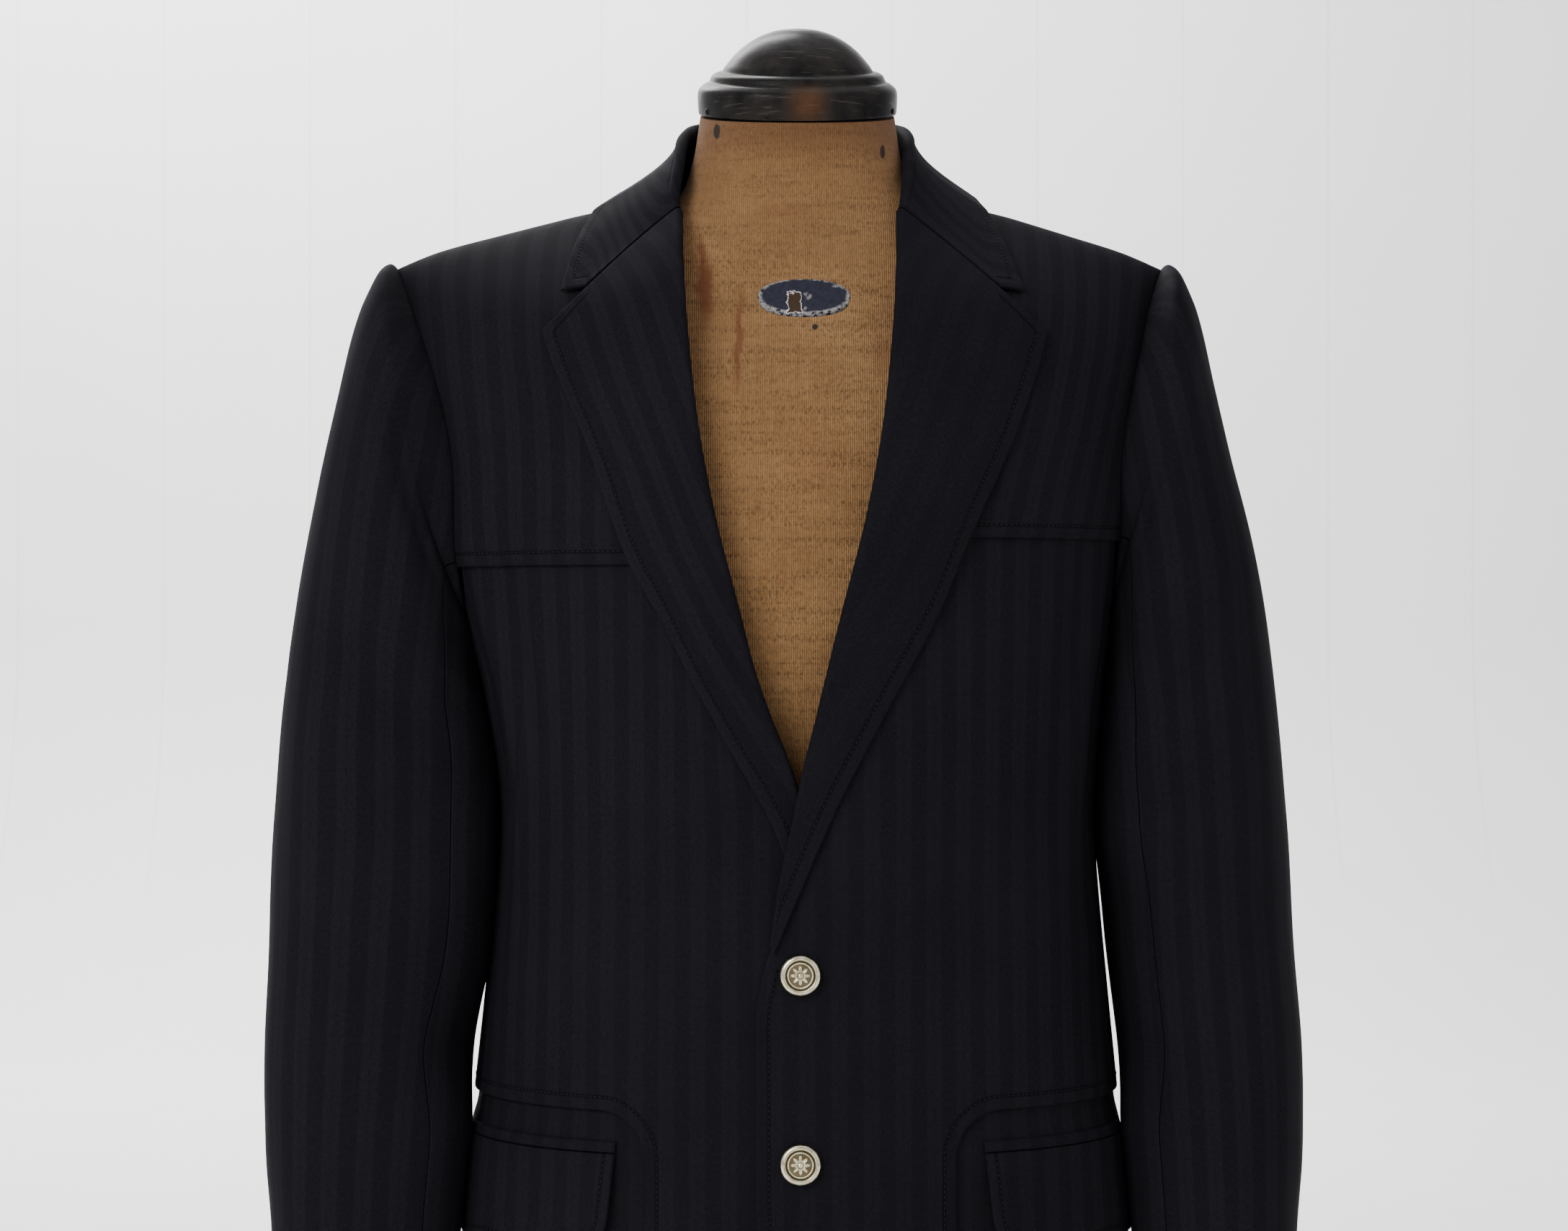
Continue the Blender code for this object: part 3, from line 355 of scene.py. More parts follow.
def armhole(turn):
    """Angle and height of the armhole seam. Turn 0 is the shoulder point, 90 degrees the front, 180 the
    underarm and -90 the back."""
    middle = (SHOULDER_Z + ARMHOLE_FLOOR_Z) / 2
    z = mix(middle, SHOULDER_Z, np.cos(turn))
    side = np.sin(turn)
    spread = np.where(side > 0, ARMHOLE_SPREAD_FRONT, ARMHOLE_SPREAD_BACK)
    return np.pi / 2 - spread * power(side, ARMHOLE_SQUARENESS), z


def armhole_turn(z):
    """The turn in front at which the armhole has this height."""
    middle = (SHOULDER_Z + ARMHOLE_FLOOR_Z) / 2
    return np.arccos(np.clip((z - middle) / (SHOULDER_Z - middle), -1.0, 1.0))


def armhole_floor(angle):
    """Height of the armhole's lower edge at an angle between the side seams."""
    swing = np.pi / 2 - angle
    spread = np.where(swing > 0, ARMHOLE_SPREAD_FRONT, ARMHOLE_SPREAD_BACK)
    side = np.minimum(np.abs(swing) / spread, 1) ** (1 / ARMHOLE_SQUARENESS)
    return armhole(np.pi - np.arcsin(side))[1]


def flap_over(angle, z):
    """How far the overlapping left front stands out, over the right one and its lapel."""
    near_middle = 1 - ease((angle - math.radians(7)) / math.radians(24))
    over_lapel = ease((z - 0.400) / 0.055)
    below_opening = 1 - ease((z - 0.530) / 0.075)
    return near_middle * below_opening * (LAP_LIFT + LAPEL_UNDER_FLAP * over_lapel)


def yoke_lift(z):
    """How far the yoke stands out where it laps over the front."""
    return LAP_LIFT * (1 - ease((z - YOKE_SEAM_Z - YOKE_LAP) / 0.050))


def front_lift(side, angle, z):
    """How far the outer face of a front or its yoke stands out from the torso's plain shape. Below the
    yoke seam it rises ahead of the step, as a lapel does that lies over it."""
    lift = flap_over(angle, z) if side > 0 else 0.0
    return lift + np.where(z >= YOKE_SEAM_Z, yoke_lift(z), LAP_LIFT * ease((z - YOKE_SEAM_Z) / 0.045 + 1))


def sewn_line(points, start, end):
    """Distance to a straight line between two (across, z) places, and the share of the way along it."""
    a, b = np.array(start), np.array(end)
    ab = b - a
    t = np.clip(((points - a) @ ab) / (ab @ ab), 0, 1)
    return np.linalg.norm(points - a - t[..., None] * ab, axis=-1), t


# Creases of the torso in its cloth: degrees and z of both ends, width, depth, and the side they are on
TORSO_CREASES = (
    (10, 0.425, 40, 0.455, 0.010, -0.0008, 0),
    (12, 0.392, 46, 0.372, 0.011, -0.0007, 0),
    (14, 0.322, 40, 0.340, 0.009, -0.0005, 1),
    (45.5, 0.655, 55.8, 0.470, 0.0028, 0.0017, -1),
    (47.5, 0.648, 65.8, 0.462, 0.0030, 0.0019, -1),
    (53.2, 0.632, 59.5, 0.550, 0.0028, 0.0012, -1),
    (58, 0.590, 70, 0.540, 0.008, -0.0010, 1),
    (34, 0.700, 60, 0.630, 0.013, -0.0008, 0),
    (30, 0.760, 58, 0.700, 0.016, 0.0007, 1),
    (70, 0.430, 58, 0.395, 0.010, 0.0008, 1),
    (68, 0.455, 50, 0.420, 0.010, -0.0007, -1),
    (62, 0.300, 66, 0.150, 0.014, 0.0010, 0),
    (40, 0.250, 44, 0.130, 0.014, -0.0008, 0),
    (112, 0.590, 128, 0.480, 0.011, -0.0014, 0),
    (122, 0.610, 140, 0.520, 0.012, 0.0012, 1),
    (118, 0.500, 150, 0.465, 0.011, 0.0010, -1),
    (114, 0.470, 158, 0.440, 0.011, -0.0011, 0),
    (150, 0.480, 176, 0.455, 0.010, -0.0009, 1),
    (132, 0.740, 116, 0.640, 0.014, 0.0013, 0),
    (150, 0.800, 132, 0.690, 0.018, -0.0009, -1),
    (160, 0.860, 172, 0.830, 0.007, -0.0008, 0),
    (128, 0.380, 134, 0.160, 0.018, 0.0014, 0),
    (150, 0.350, 154, 0.150, 0.020, -0.0012, 1),
    (166, 0.330, 170, 0.140, 0.018, 0.0010, -1),
    (100, 0.300, 104, 0.150, 0.012, -0.0009, 0),
)

# Creases of a sleeve: degrees and share of length of both ends, width, depth, and the side they are on
SLEEVE_CREASES = (
    (70, 0.47, 130, 0.52, 0.011, -0.0018, 0),
    (60, 0.55, 125, 0.565, 0.010, 0.0014, 0),
    (66, 0.61, 120, 0.60, 0.009, -0.0015, 1),
    (80, 0.66, 128, 0.70, 0.012, 0.0012, -1),
    (150, 0.50, 118, 0.46, 0.012, -0.0014, -1),
    (-40, 0.42, -88, 0.47, 0.014, 0.0014, 0),
    (-50, 0.50, -98, 0.53, 0.012, -0.0016, 0),
    (-34, 0.60, -80, 0.57, 0.013, 0.0012, 1),
    (-60, 0.66, -100, 0.64, 0.011, -0.0012, -1),
    (20, 0.20, 60, 0.34, 0.018, -0.0012, 0),
    (-20, 0.16, -54, 0.30, 0.018, 0.0012, 0),
    (80, 0.12, 112, 0.26, 0.012, -0.0014, 0),
    (-78, 0.12, -108, 0.24, 0.012, -0.0014, 0),
    (10, 0.70, 40, 0.86, 0.016, 0.0011, -1),
    (-10, 0.74, -40, 0.92, 0.018, -0.0011, 0),
    (70, 0.80, 100, 0.93, 0.012, 0.0010, 1),
    (0, 0.40, 30, 0.52, 0.020, -0.0010, 1),
    (8, 0.52, -24, 0.66, 0.020, 0.0010, -1),
)


def creases(table, across, up, side, reach):
    """Height of the creases in a table over places given by degrees and a height or share."""
    total = np.zeros(np.broadcast(across, up).shape)
    places = stack(np.radians(across) * reach[0], up * reach[1])
    for a, b, c, d, width, depth, only in table:
        if only and only != side:
            continue
        start, end = ((math.radians(x) * reach[0], y * reach[1]) for x, y in ((a, b), (c, d)))
        distance, t = sewn_line(places, start, end)
        lean = 1 + 0.35 * np.sin(5 * t + a)
        total += depth * lean * bell(distance / (2.2 * width)) * np.sin(np.pi * (0.08 + 0.84 * t))
    return total


def cloth_point(angle, z, side):
    """The torso's outer cloth with the creases of one side of it."""
    lift = creases(TORSO_CREASES, np.degrees(np.abs(angle)), z, side, (0.17, 1.0))
    return torso_point(angle, z) + stack(np.sin(angle) * lift, -np.cos(angle) * lift, 0 * lift)


def cloth_face(angle, z, side):
    """Which way the torso's cloth faces."""
    across = cloth_point(angle + 0.006, z, side) - cloth_point(angle - 0.006, z, side)
    up = cloth_point(angle, z + 0.001, side) - cloth_point(angle, z - 0.001, side)
    return unit(np.cross(across, up))


def facing(surface, u, v, step=1e-3):
    """Which way a surface faces at u, v, from its slopes."""
    across = surface(np.minimum(u + step, 1), v) - surface(np.maximum(u - step, 0), v)
    up = surface(u, np.minimum(v + step, 1)) - surface(u, np.maximum(v - step, 0))
    return unit(np.cross(across, up))


def spaced(length, cell, ends=(True, True)):
    """Shares of a length, a cell apart, and closer at an end where the cloth's edge is rounded."""
    near = np.array((0.0, 0.00035, 0.0009, 0.0019))
    start = near / length if ends[0] else np.array((0.0,))
    stop = 1 - near[::-1] / length if ends[1] else np.array((1.0,))
    count = max(int(round(length / cell)), 3)
    middle = np.linspace(start[-1], stop[0], count + 1)[1:-1]
    return np.concatenate((start, middle, stop))


def arc(points, axis):
    """Distance walked along an axis of a grid of points, from its start."""
    steps = np.linalg.norm(np.diff(points, axis=axis), axis=-1)
    pad = [(0, 0), (0, 0)]
    pad[axis] = (1, 0)
    return np.pad(np.cumsum(steps, axis=axis), pad)


class Shell:
    """A fine closed sheet of cloth over a surface, and where its points, faces and edges are."""

    def __init__(self, surface, high, thickness, cell=0.004, columns=None, rows=None, face=None,
                 distances=None):
        probe_u, probe_v = np.meshgrid(np.linspace(0, 1, 25), np.linspace(0, 1, 25))
        probe = surface(probe_u, probe_v)
        width, length = arc(probe, 1)[:, -1].max(), arc(probe, 0)[-1].max()
        us = spaced(width, cell) if columns is None else np.asarray(columns)
        vs = spaced(length, cell) if rows is None else np.asarray(rows)
        u, v = np.meshgrid(us, vs)
        base = surface(u, v)
        out = facing(surface, u, v) if face is None else face(u, v)
        across, up = arc(base, 1), arc(base, 0)
        self.from_edges = [across, across[:, -1:] - across, up, up[-1:] - up]
        if distances:
            self.from_edges = distances(u, v, self.from_edges)
        rounding = 0
        for distance in self.from_edges:
            inside = np.clip(distance / EDGE_ROUND, 0, 1)
            rounding = np.maximum(rounding, EDGE_DROP * (1 - np.sqrt(1 - (1 - inside) ** 2)))
        top = high(u, v) if callable(high) else high
        self.outer = base + out * (top - rounding)[..., None]
        self.inner = base + out * (top - thickness + 0.3 * rounding)[..., None]
        self.u, self.v, self.face, self.size = u, v, out, (width, length)
        rising = self.outer[1:, 1:] - self.outer[:-1, :-1]
        falling = self.outer[1:, :-1] - self.outer[:-1, 1:]
        self.area = float(np.linalg.norm(np.cross(rising, falling), axis=-1).sum() / 2)

    def row_inside(self, edge, inset, start=0.0, end=1.0, stop=()):
        """Points and facings of the line that runs inside one edge, clear of the edges it stops at."""
        distance, points, faces = self.from_edges[edge], self.outer, self.face
        others = np.minimum.reduce([self.from_edges[k] for k in stop] + [np.full(distance.shape, 1.0)])
        grids = distance, others, points, faces
        if edge in (2, 3):
            grids = [grid.swapaxes(0, 1) for grid in grids]
        if edge in (1, 3):
            grids = [grid[:, ::-1] for grid in grids]
        distance, others, points, faces = grids
        line, outward = [], []
        n = len(distance)
        for j in range(n):
            if not start <= j / (n - 1) <= end or distance[j].max() < inset * 1.5:
                continue
            i = max(int(np.argmax(distance[j] >= inset)), 1)
            if others[j, i] < inset * 0.98:
                continue
            t = (inset - distance[j, i - 1]) / max(distance[j, i] - distance[j, i - 1], 1e-9)
            line.append(mix(points[j, i - 1], points[j, i], t))
            outward.append(faces[j, i])
        return np.array(line), np.array(outward)


def leaned(x, z):
    """Sideways shift of the shoulders and sleeves, which hang towards the wearer's right."""
    start = mix(mix(0.165, 0.125, ease((z - 0.48) / 0.14)), 0.090, ease((z - 0.76) / 0.08))
    shift = mix(mix(0.0078, 0.0098, ease((z - 0.33) / 0.13)), 0.0118, ease((z - 0.60) / 0.10))
    return -mix(shift, 0.0105, ease((z - 0.75) / 0.08)) * ease((np.abs(x) - start) / 0.13)


def opened(x, y, z):
    """Sideways shift of the wearer's right lapel and collar, which fall further open than the left."""
    roll = np.maximum(roll_x(np.minimum(z, LAPEL[-1, 1])), 0.012)
    fade = mix(0.065, 0.140, ease((z - 0.68) / 0.10))
    aside = ease((roll - x) / (2 * roll)) * (1 - ease((-roll - x) / fade))
    height = ease((z - 0.485) / 0.105) * (1 - 0.65 * ease((z - 0.845) / 0.045))
    return -OPEN_RIGHT * aside * height * ease((0.02 - y) / 0.04)


def settled(points, side):
    """Points of one side of the jacket as it hangs: mirrored where side is -1, then shifted sideways.
    The yoke's seam sits higher at the wearer's left."""
    x, y, z = side * points[..., 0], points[..., 1], points[..., 2]
    rise = np.where(x > 0, YOKE_RISE_LEFT, -YOKE_DROP_RIGHT) * ease((np.abs(x) - 0.070) / 0.028)
    rise = rise * bell((z - YOKE_SEAM_Z - 0.001) / 0.075) * ease(-y / 0.03)
    return stack(x + leaned(x, z) + opened(x, y, z), y, z + rise)


def in_scene(name, data):
    """An object of a mesh, light or camera, in the scene."""
    made = bpy.data.objects.new(name, data)
    bpy.context.scene.collection.objects.link(made)
    return made


def make_object(name, vertices, faces, finish):
    """A mesh object, riding on the root body."""
    data = bpy.data.meshes.new(name)
    data.from_pydata([tuple(map(float, v)) for v in vertices], [], [tuple(map(int, f)) for f in faces])
    data.update()
    data.shade_smooth()
    data.materials.append(finish)
    made = in_scene(name, data)
    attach(made, "root")
    return made


def loop_vertices(data):
    """The vertex at each corner of the faces."""
    found = np.empty(len(data.loops), dtype=np.int32)
    data.loops.foreach_get("vertex_index", found)
    return found


def set_uv(data, uv):
    """Texture coordinates for each corner of the faces."""
    data.uv_layers.new(name="UVMap").data.foreach_set("uv", uv.ravel())


def set_values(data, name, *values):
    """A value for each vertex, which a material reads by its name."""
    values = np.concatenate([np.ravel(v) for v in values]).astype(np.float32)
    data.attributes.new(name, "FLOAT", "POINT").data.foreach_set("value", values)


def cloth_object(name, shell, side, finish, stripes, seams=None, node=None):
    """The mesh of a shell, with its stripe and seam coordinates."""
    rows, columns = shell.outer.shape[:2]
    count = rows * columns
    index = np.arange(count).reshape(rows, columns)
    a, b, c, d = index[:-1, :-1], index[:-1, 1:], index[1:, 1:], index[1:, :-1]
    outside = np.stack((a, b, c, d), axis=-1).reshape(-1, 4)
    inside = np.stack((a, d, c, b), axis=-1).reshape(-1, 4) + count
    rim = np.concatenate((index[0], index[1:, -1], index[-1, -2::-1], index[-2:0:-1, 0]))
    after = np.roll(rim, -1)
    edge = np.stack((after, rim, rim + count, after + count), axis=-1)
    faces = np.concatenate((outside, inside, edge))
    if side < 0:
        faces = faces[:, ::-1]
    vertices = settled(np.concatenate((shell.outer.reshape(-1, 3), shell.inner.reshape(-1, 3))), side)
    made = make_object(name, vertices, faces, finish)
    set_uv(made.data, np.tile(stripes.reshape(-1, 2), (2, 1))[loop_vertices(made.data)])
    away = np.full(count, NO_SEAM) if seams is None else np.minimum(seams, NO_SEAM)
    set_values(made.data, "stitch", away, np.full(count, NO_SEAM))
    if node:
        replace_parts(made, node)
    flat = tuple(round(max(x, 0.012) * 1.02, 4) for x in shell.size)
    area = min(max(shell.area, 0.3 * flat[0] * flat[1]), flat[0] * flat[1])


def stitches(name, lines, side, finish, pitch=0.0031, length=0.0021, radius=0.00030):
    """Small sewn stitches along lines of (points, facings)."""
    vertices, faces = [], []
    ring = [(math.cos(math.radians(60 * k)), math.sin(math.radians(60 * k))) for k in range(6)]
    stations = ((-0.5, 0.15), (-0.36, 0.8), (0.0, 1.0), (0.36, 0.8), (0.5, 0.15))
    for points, outward in lines:
        if len(points) < 2:
            continue
        walked = np.concatenate(([0], np.cumsum(np.linalg.norm(np.diff(points, axis=0), axis=1))))
        for s in np.arange(pitch, walked[-1] - pitch, pitch):
            centre = np.array([np.interp(s, walked, points[:, k]) for k in range(3)])
            ahead = np.array([np.interp(s + 0.001, walked, points[:, k]) for k in range(3)])
            out = unit(np.array([np.interp(s, walked, outward[:, k]) for k in range(3)]))
            way = unit(ahead - centre)
            aside = unit(np.cross(out, way))
            first = len(vertices)
            for share, fat in stations:
                lift = 0.00012 - 0.0012 * share**2
                core = centre + way * share * length + out * lift
                for x, y in ring:
                    vertices.append(core + (aside * x + out * y * 0.8) * radius * fat)
            for j in range(len(stations) - 1):
                for k in range(6):
                    low, next_low = first + j * 6 + k, first + j * 6 + (k + 1) % 6
                    quad = (low, next_low, next_low + 6, low + 6)
                    faces.append(quad if side > 0 else quad[::-1])
    made = make_object(name, settled(np.array(vertices), side), faces, finish)


ARC_ANGLES = np.radians(np.linspace(0, 180, 361))
ARC_HEIGHTS = np.linspace(0.10, 0.94, 85)
ARC_LENGTHS = arc(torso_point(ARC_ANGLES[None, :], ARC_HEIGHTS[:, None]), 1)


def around(angle, z):
    """Distance round the torso's cloth from the centre front, at one height."""
    a = np.clip(np.abs(angle) / ARC_ANGLES[1], 0, 359.999)
    b = np.clip((z - ARC_HEIGHTS[0]) / (ARC_HEIGHTS[1] - ARC_HEIGHTS[0]), 0, 83.999)
    a, b = np.broadcast_arrays(a, b)
    i, j = a.astype(int), b.astype(int)
    low = mix(ARC_LENGTHS[j, i], ARC_LENGTHS[j, i + 1], a - i)
    high = mix(ARC_LENGTHS[j + 1, i], ARC_LENGTHS[j + 1, i + 1], a - i)
    return np.copysign(mix(low, high, b - j), angle)


def angle_of(distance, z):
    """The angle at a distance round the torso from the centre front."""
    distance, z = np.broadcast_arrays(np.asarray(distance, float), np.asarray(z, float))
    places = zip(np.abs(distance).ravel(), z.ravel())
    found = [np.interp(far, around(ARC_ANGLES, height), ARC_ANGLES) for far, height in places]
    return np.copysign(np.array(found).reshape(distance.shape), distance)


def front_edge_x(z):
    """x of a front's edge: into the lapel's roll, straight past the buttons, then rounded to the hem."""
    cut = np.maximum(CUTAWAY_Z - z, 0.0) / (CUTAWAY_Z - HEM_Z)
    return mix(-OVERLAP, 0.070, cut**2.4) + FRONT_INTO_ROLL * ease((z - 0.382) / 0.055)


def roll_x(z):
    """x of the roll line at a height."""
    return along(LAPEL[:, [1, 0]], z)[0]


# Rows of a front: share of the way up where the hip seam turns, and where the side seam starts
ROW_CORNER = 0.275
ROW_SIDE = 0.515
FRONT_TOP = YOKE_SEAM_Z + YOKE_LAP
SEAM_STEPS = np.linspace(0, 1, 200)


def hip_corner_path():
    """Angles and heights along the hip seam, from where its corner starts to the side seam."""
    turn = np.linspace(0, np.pi / 2, 40)
    x = HIP_SEAM_X + HIP_CORNER_R * (1 - np.cos(turn))
    z = HIP_SEAM_Z - HIP_CORNER_R * (1 - np.sin(turn))
    side = SIDE_SEAM_FRONT - ANGLE_GAP
    level = np.linspace(angle_at(x[-1], z[-1]), side, 60)[1:]
    angles = np.concatenate((angle_at(x, z), level))
    heights = np.concatenate((z, np.full(59, HIP_SEAM_Z)))
    points = torso_point(angles, heights)
    walked = np.concatenate(([0], np.cumsum(np.linalg.norm(np.diff(points, axis=0), axis=1))))
    share = walked / walked[-1]
    return np.interp(SEAM_STEPS, share, angles), np.interp(SEAM_STEPS, share, heights)


CORNER_ANGLES, CORNER_HEIGHTS = hip_corner_path()


def front_place(u, v):
    """Angle and height on the main part of a front, whose rows end at the hip seam, then at the side seam."""
    stops = (0, ROW_CORNER, ROW_SIDE, 1)
    near_z = np.interp(v, stops, (HEM_Z, HIP_SEAM_Z - HIP_CORNER_R, 0.400, FRONT_TOP))
    turned_over = ease((near_z - 0.415) / 0.012)
    under = (LAPEL_UNDERLAP + LAPEL_CLEAR) * ease((near_z - 0.421) / 0.050)
    edge_x = mix(front_edge_x(near_z), roll_x(near_z) + under, turned_over)
    start = angle_at(edge_x, near_z)
    share = np.clip((v - ROW_CORNER) / (ROW_SIDE - ROW_CORNER), 0, 1)
    corner_angle = np.interp(share, SEAM_STEPS, CORNER_ANGLES)
    corner_z = np.interp(share, SEAM_STEPS, CORNER_HEIGHTS)
    side_z = np.interp(v, (ROW_SIDE, 1), (HIP_SEAM_Z, FRONT_TOP))
    hole = armhole(armhole_turn(np.maximum(side_z, ARMHOLE_FLOOR_Z)))[0]
    side_angle = np.where(side_z > ARMHOLE_FLOOR_Z, np.minimum(SIDE_SEAM_FRONT, hole), SIDE_SEAM_FRONT)
    side_angle = side_angle - ANGLE_GAP
    below, beside = v < ROW_CORNER, v < ROW_SIDE
    far_z = np.where(below, near_z, np.where(beside, corner_z, side_z))
    far = np.where(below, angle_at(HIP_SEAM_X, near_z), np.where(beside, corner_angle, side_angle))
    return mix(start, far, u), mix(near_z, far_z, u)


def from_hip_seam(angle, z):
    """Distance outside the curved hip seam, measured on the cloth."""
    past_seam = around(angle, z) - around(angle_at(HIP_SEAM_X, z), z)
    a = HIP_CORNER_R - past_seam
    b = z - HIP_SEAM_Z + HIP_CORNER_R
    return np.hypot(np.maximum(a, 0), np.maximum(b, 0)) + np.minimum(np.maximum(a, b), 0) - HIP_CORNER_R


def even(u):
    """A share of the way across a rounded panel, closer together where it turns to the side."""
    return (np.sin(np.radians(18 + 49 * u)) - math.sin(math.radians(18))) / 0.6115


def upper_place(start_x, start_z, end_x, end_z, top, u, v):
    """x and height of a row that is level at the foot of an upper panel and follows its top line at v 1."""
    x = mix(start_x, end_x, u)
    drop = mix(top(start_x) - start_z, top(end_x) - end_z, u)
    return x, mix(mix(start_z, end_z, u), top(x) - drop, ease(v / 0.85))


def yoke_place(u, v):
    """x and height on the upper part of a front, from the yoke seam to the shoulder line."""
    rise = 1 - (1 - v) ** 1.6
    end_angle, end_z = armhole(armhole_turn(mix(YOKE_SEAM_Z, SHOULDER_Z, rise)))
    start_z = mix(YOKE_SEAM_Z, NECK_POINT_Z, rise)
    beside_lapel = roll_x(np.minimum(start_z, LAPEL[-1, 1])) + LAPEL_UNDERLAP + LAPEL_CLEAR
    start_x = mix(beside_lapel, NECK_POINT_X, ease((start_z - 0.80) / 0.073))
    end_x = torso_point(end_angle, end_z)[..., 0] - SEAM_GAP
    return upper_place(start_x, start_z, end_x, end_z, ridge, even(u), v)


def back_top(x):
    """The back's top line: the shoulder line, then the neck seam."""
    return np.minimum(ridge(x), mix(NAPE_Z, NECK_POINT_Z, np.minimum(x / NECK_POINT_X, 1.0)))


def back_place(u, v):
    """Angle and height on a back: u goes from the side seam to the centre seam, v from the hem to the
    shoulder."""
    split = 0.58
    corner_z = armhole_floor(SIDE_SEAM_BACK)
    centre_x = 1.3 * SEAM_GAP
    low_z = mix(HEM_Z, corner_z, np.minimum(v / split, 1))
    low = mix(SIDE_SEAM_BACK + ANGLE_GAP, np.pi - angle_at(centre_x, low_z), u)
    rise = 1 - (1 - np.clip((v - split) / (1 - split), 0, 1)) ** 1.6
    swing = (SIDE_SEAM_BACK - math.pi / 2) / ARMHOLE_SPREAD_BACK
    corner_turn = math.pi - math.asin(swing ** (1 / ARMHOLE_SQUARENESS))
    angle, z = armhole(-mix(corner_turn, 0.0, rise))
    end_x = torso_point(angle, z)[..., 0] - SEAM_GAP
    x, z = upper_place(end_x, z, centre_x, mix(corner_z, NAPE_Z, rise), back_top, u, rise)
    return np.where(v < split, low, np.pi - angle_at(x, z)), np.where(v < split, low_z, z)


def side_place(u, v):
    """Angle and height on a side panel, from the hip seam to the underarm."""
    angle = mix(SIDE_SEAM_FRONT + ANGLE_GAP, SIDE_SEAM_BACK - ANGLE_GAP, u)
    return angle, mix(HIP_SEAM_Z, armhole_floor(angle), v)


def hip_place(u, v):
    """Angle and height on a hip panel, which lies under the front's and the side panel's lapped seam."""
    z = mix(HEM_Z, HIP_SEAM_Z + HIP_LAP, v)
    return mix(angle_at(HIP_SEAM_X - HIP_LAP, z), SIDE_SEAM_BACK - SEAM_GAP / 0.2, u), z


def hip_sink(angle, z):
    """How far a hip panel's outer face lies inside, which it does along its lapped seam."""
    x = torso_point(angle, z)[..., 0]
    under_top = 1 - ease((HIP_SEAM_Z - 0.004 - z) / 0.022)
    under_front = np.where(angle < np.pi / 2, 1 - ease((x - HIP_SEAM_X - 0.004) / 0.016), 0.0)
    return -LAP_LIFT * np.maximum(under_top, under_front)


def on_front(side, x, z):
    """The torso's outer cloth in front at x and z, below the shoulder line."""
    z = np.minimum(z, ridge(x) - 0.002)
    return cloth_point(angle_at(x, z), z, side)


def out_of_front(side, x, z):
    """Which way the front faces at x and z."""
    z = np.minimum(z, ridge(x) - 0.006)
    across = on_front(side, x + 0.002, z) - on_front(side, x - 0.002, z)
    up = on_front(side, x, z + 0.002) - on_front(side, x, z - 0.002)
    return unit(np.cross(across, up))


def turned_path(width, fullness, t):
    """Cross-section of cloth that folds back over itself: distance from the roll line and height over
    the panel, for t from 0 at the hidden end to 1 at the outer edge."""
    radius = mix(ROLL_R_PRESSED, ROLL_R, fullness)
    turn = np.pi * np.clip((t - LAPEL_BEND_START) / (LAPEL_BEND_END - LAPEL_BEND_START), 0, 1)
    share = np.clip((t - LAPEL_BEND_END) / (1 - LAPEL_BEND_END), 0, 1)
    high = -LAPEL_CLOTH / 2 + 2 * radius
    edge = LAPEL_CLOTH / 2 + LAPEL_EDGE_GAP
    flat = mix(high, edge, ease(share)) + fullness * LAPEL_BELLY * np.sin(np.pi * share)
    hidden, bent = t < LAPEL_BEND_START, t < LAPEL_BEND_END
    under = mix(LAPEL_UNDERLAP - SEAM_GAP, 0.0, t / LAPEL_BEND_START)
    reach = np.where(hidden, under, np.where(bent, -radius * np.sin(turn), width * share))
    round_it = -LAPEL_CLOTH / 2 + radius * (1 - np.cos(turn))
    return reach, np.where(hidden, -LAPEL_CLOTH / 2, np.where(bent, round_it, flat))


def on_lapel(side, row, t):
    """A point in the middle of a lapel's cloth, on the line across it that a row of the table gives."""
    fold_x, fold_z, edge_x, edge_z = row
    width = np.hypot(edge_x - fold_x, edge_z - fold_z)
    fullness = ease((fold_z - 0.500) / 0.070)
    reach, height = turned_path(width, fullness, t)
    reach = reach * np.where(t < LAPEL_BEND_END, np.minimum(width / 0.012, 1.0), 1.0)
    x = mix(fold_x, edge_x, reach / width)
    z = mix(fold_z, edge_z, reach / width)
    rise = height + front_lift(side, angle_at(x, z), z)
    return on_front(side, x, z) + out_of_front(side, x, z) * rise[..., None]


def lapel(side, start):
    """Surface through the middle of a lapel's cloth, from its hidden end round the roll to its edge."""
    return lambda u, v: on_lapel(side, along(numbered(LAPEL), mix(start, 1.0, v)), u)


def over_torso(point):
    """A point's distance from the torso's outer cloth, and which way the cloth faces there."""
    x, behind = point[..., 0], point[..., 1] > RIDGE_Y
    z = np.minimum(point[..., 2], ridge(x) - 0.003)

    def place(x, z):
        angle = angle_at(x, z)
        return torso_point(np.where(behind, np.pi - angle, angle), z)

    across = place(x + 0.002, z) - place(x - 0.002, z)
    up = place(x, z + 0.002) - place(x, z - 0.002)
    face = unit(np.cross(across, up)) * np.where(behind, -1, 1)[..., None]
    return ((point - place(x, z)) * face).sum(axis=-1), face


def seated(point, least, most=1.0):
    """The point moved so that its distance from the torso lies between two values."""
    for _ in range(4):
        distance, face = over_torso(point)
        point = point + face * (np.clip(distance, least, most) - distance)[..., None]
    return point


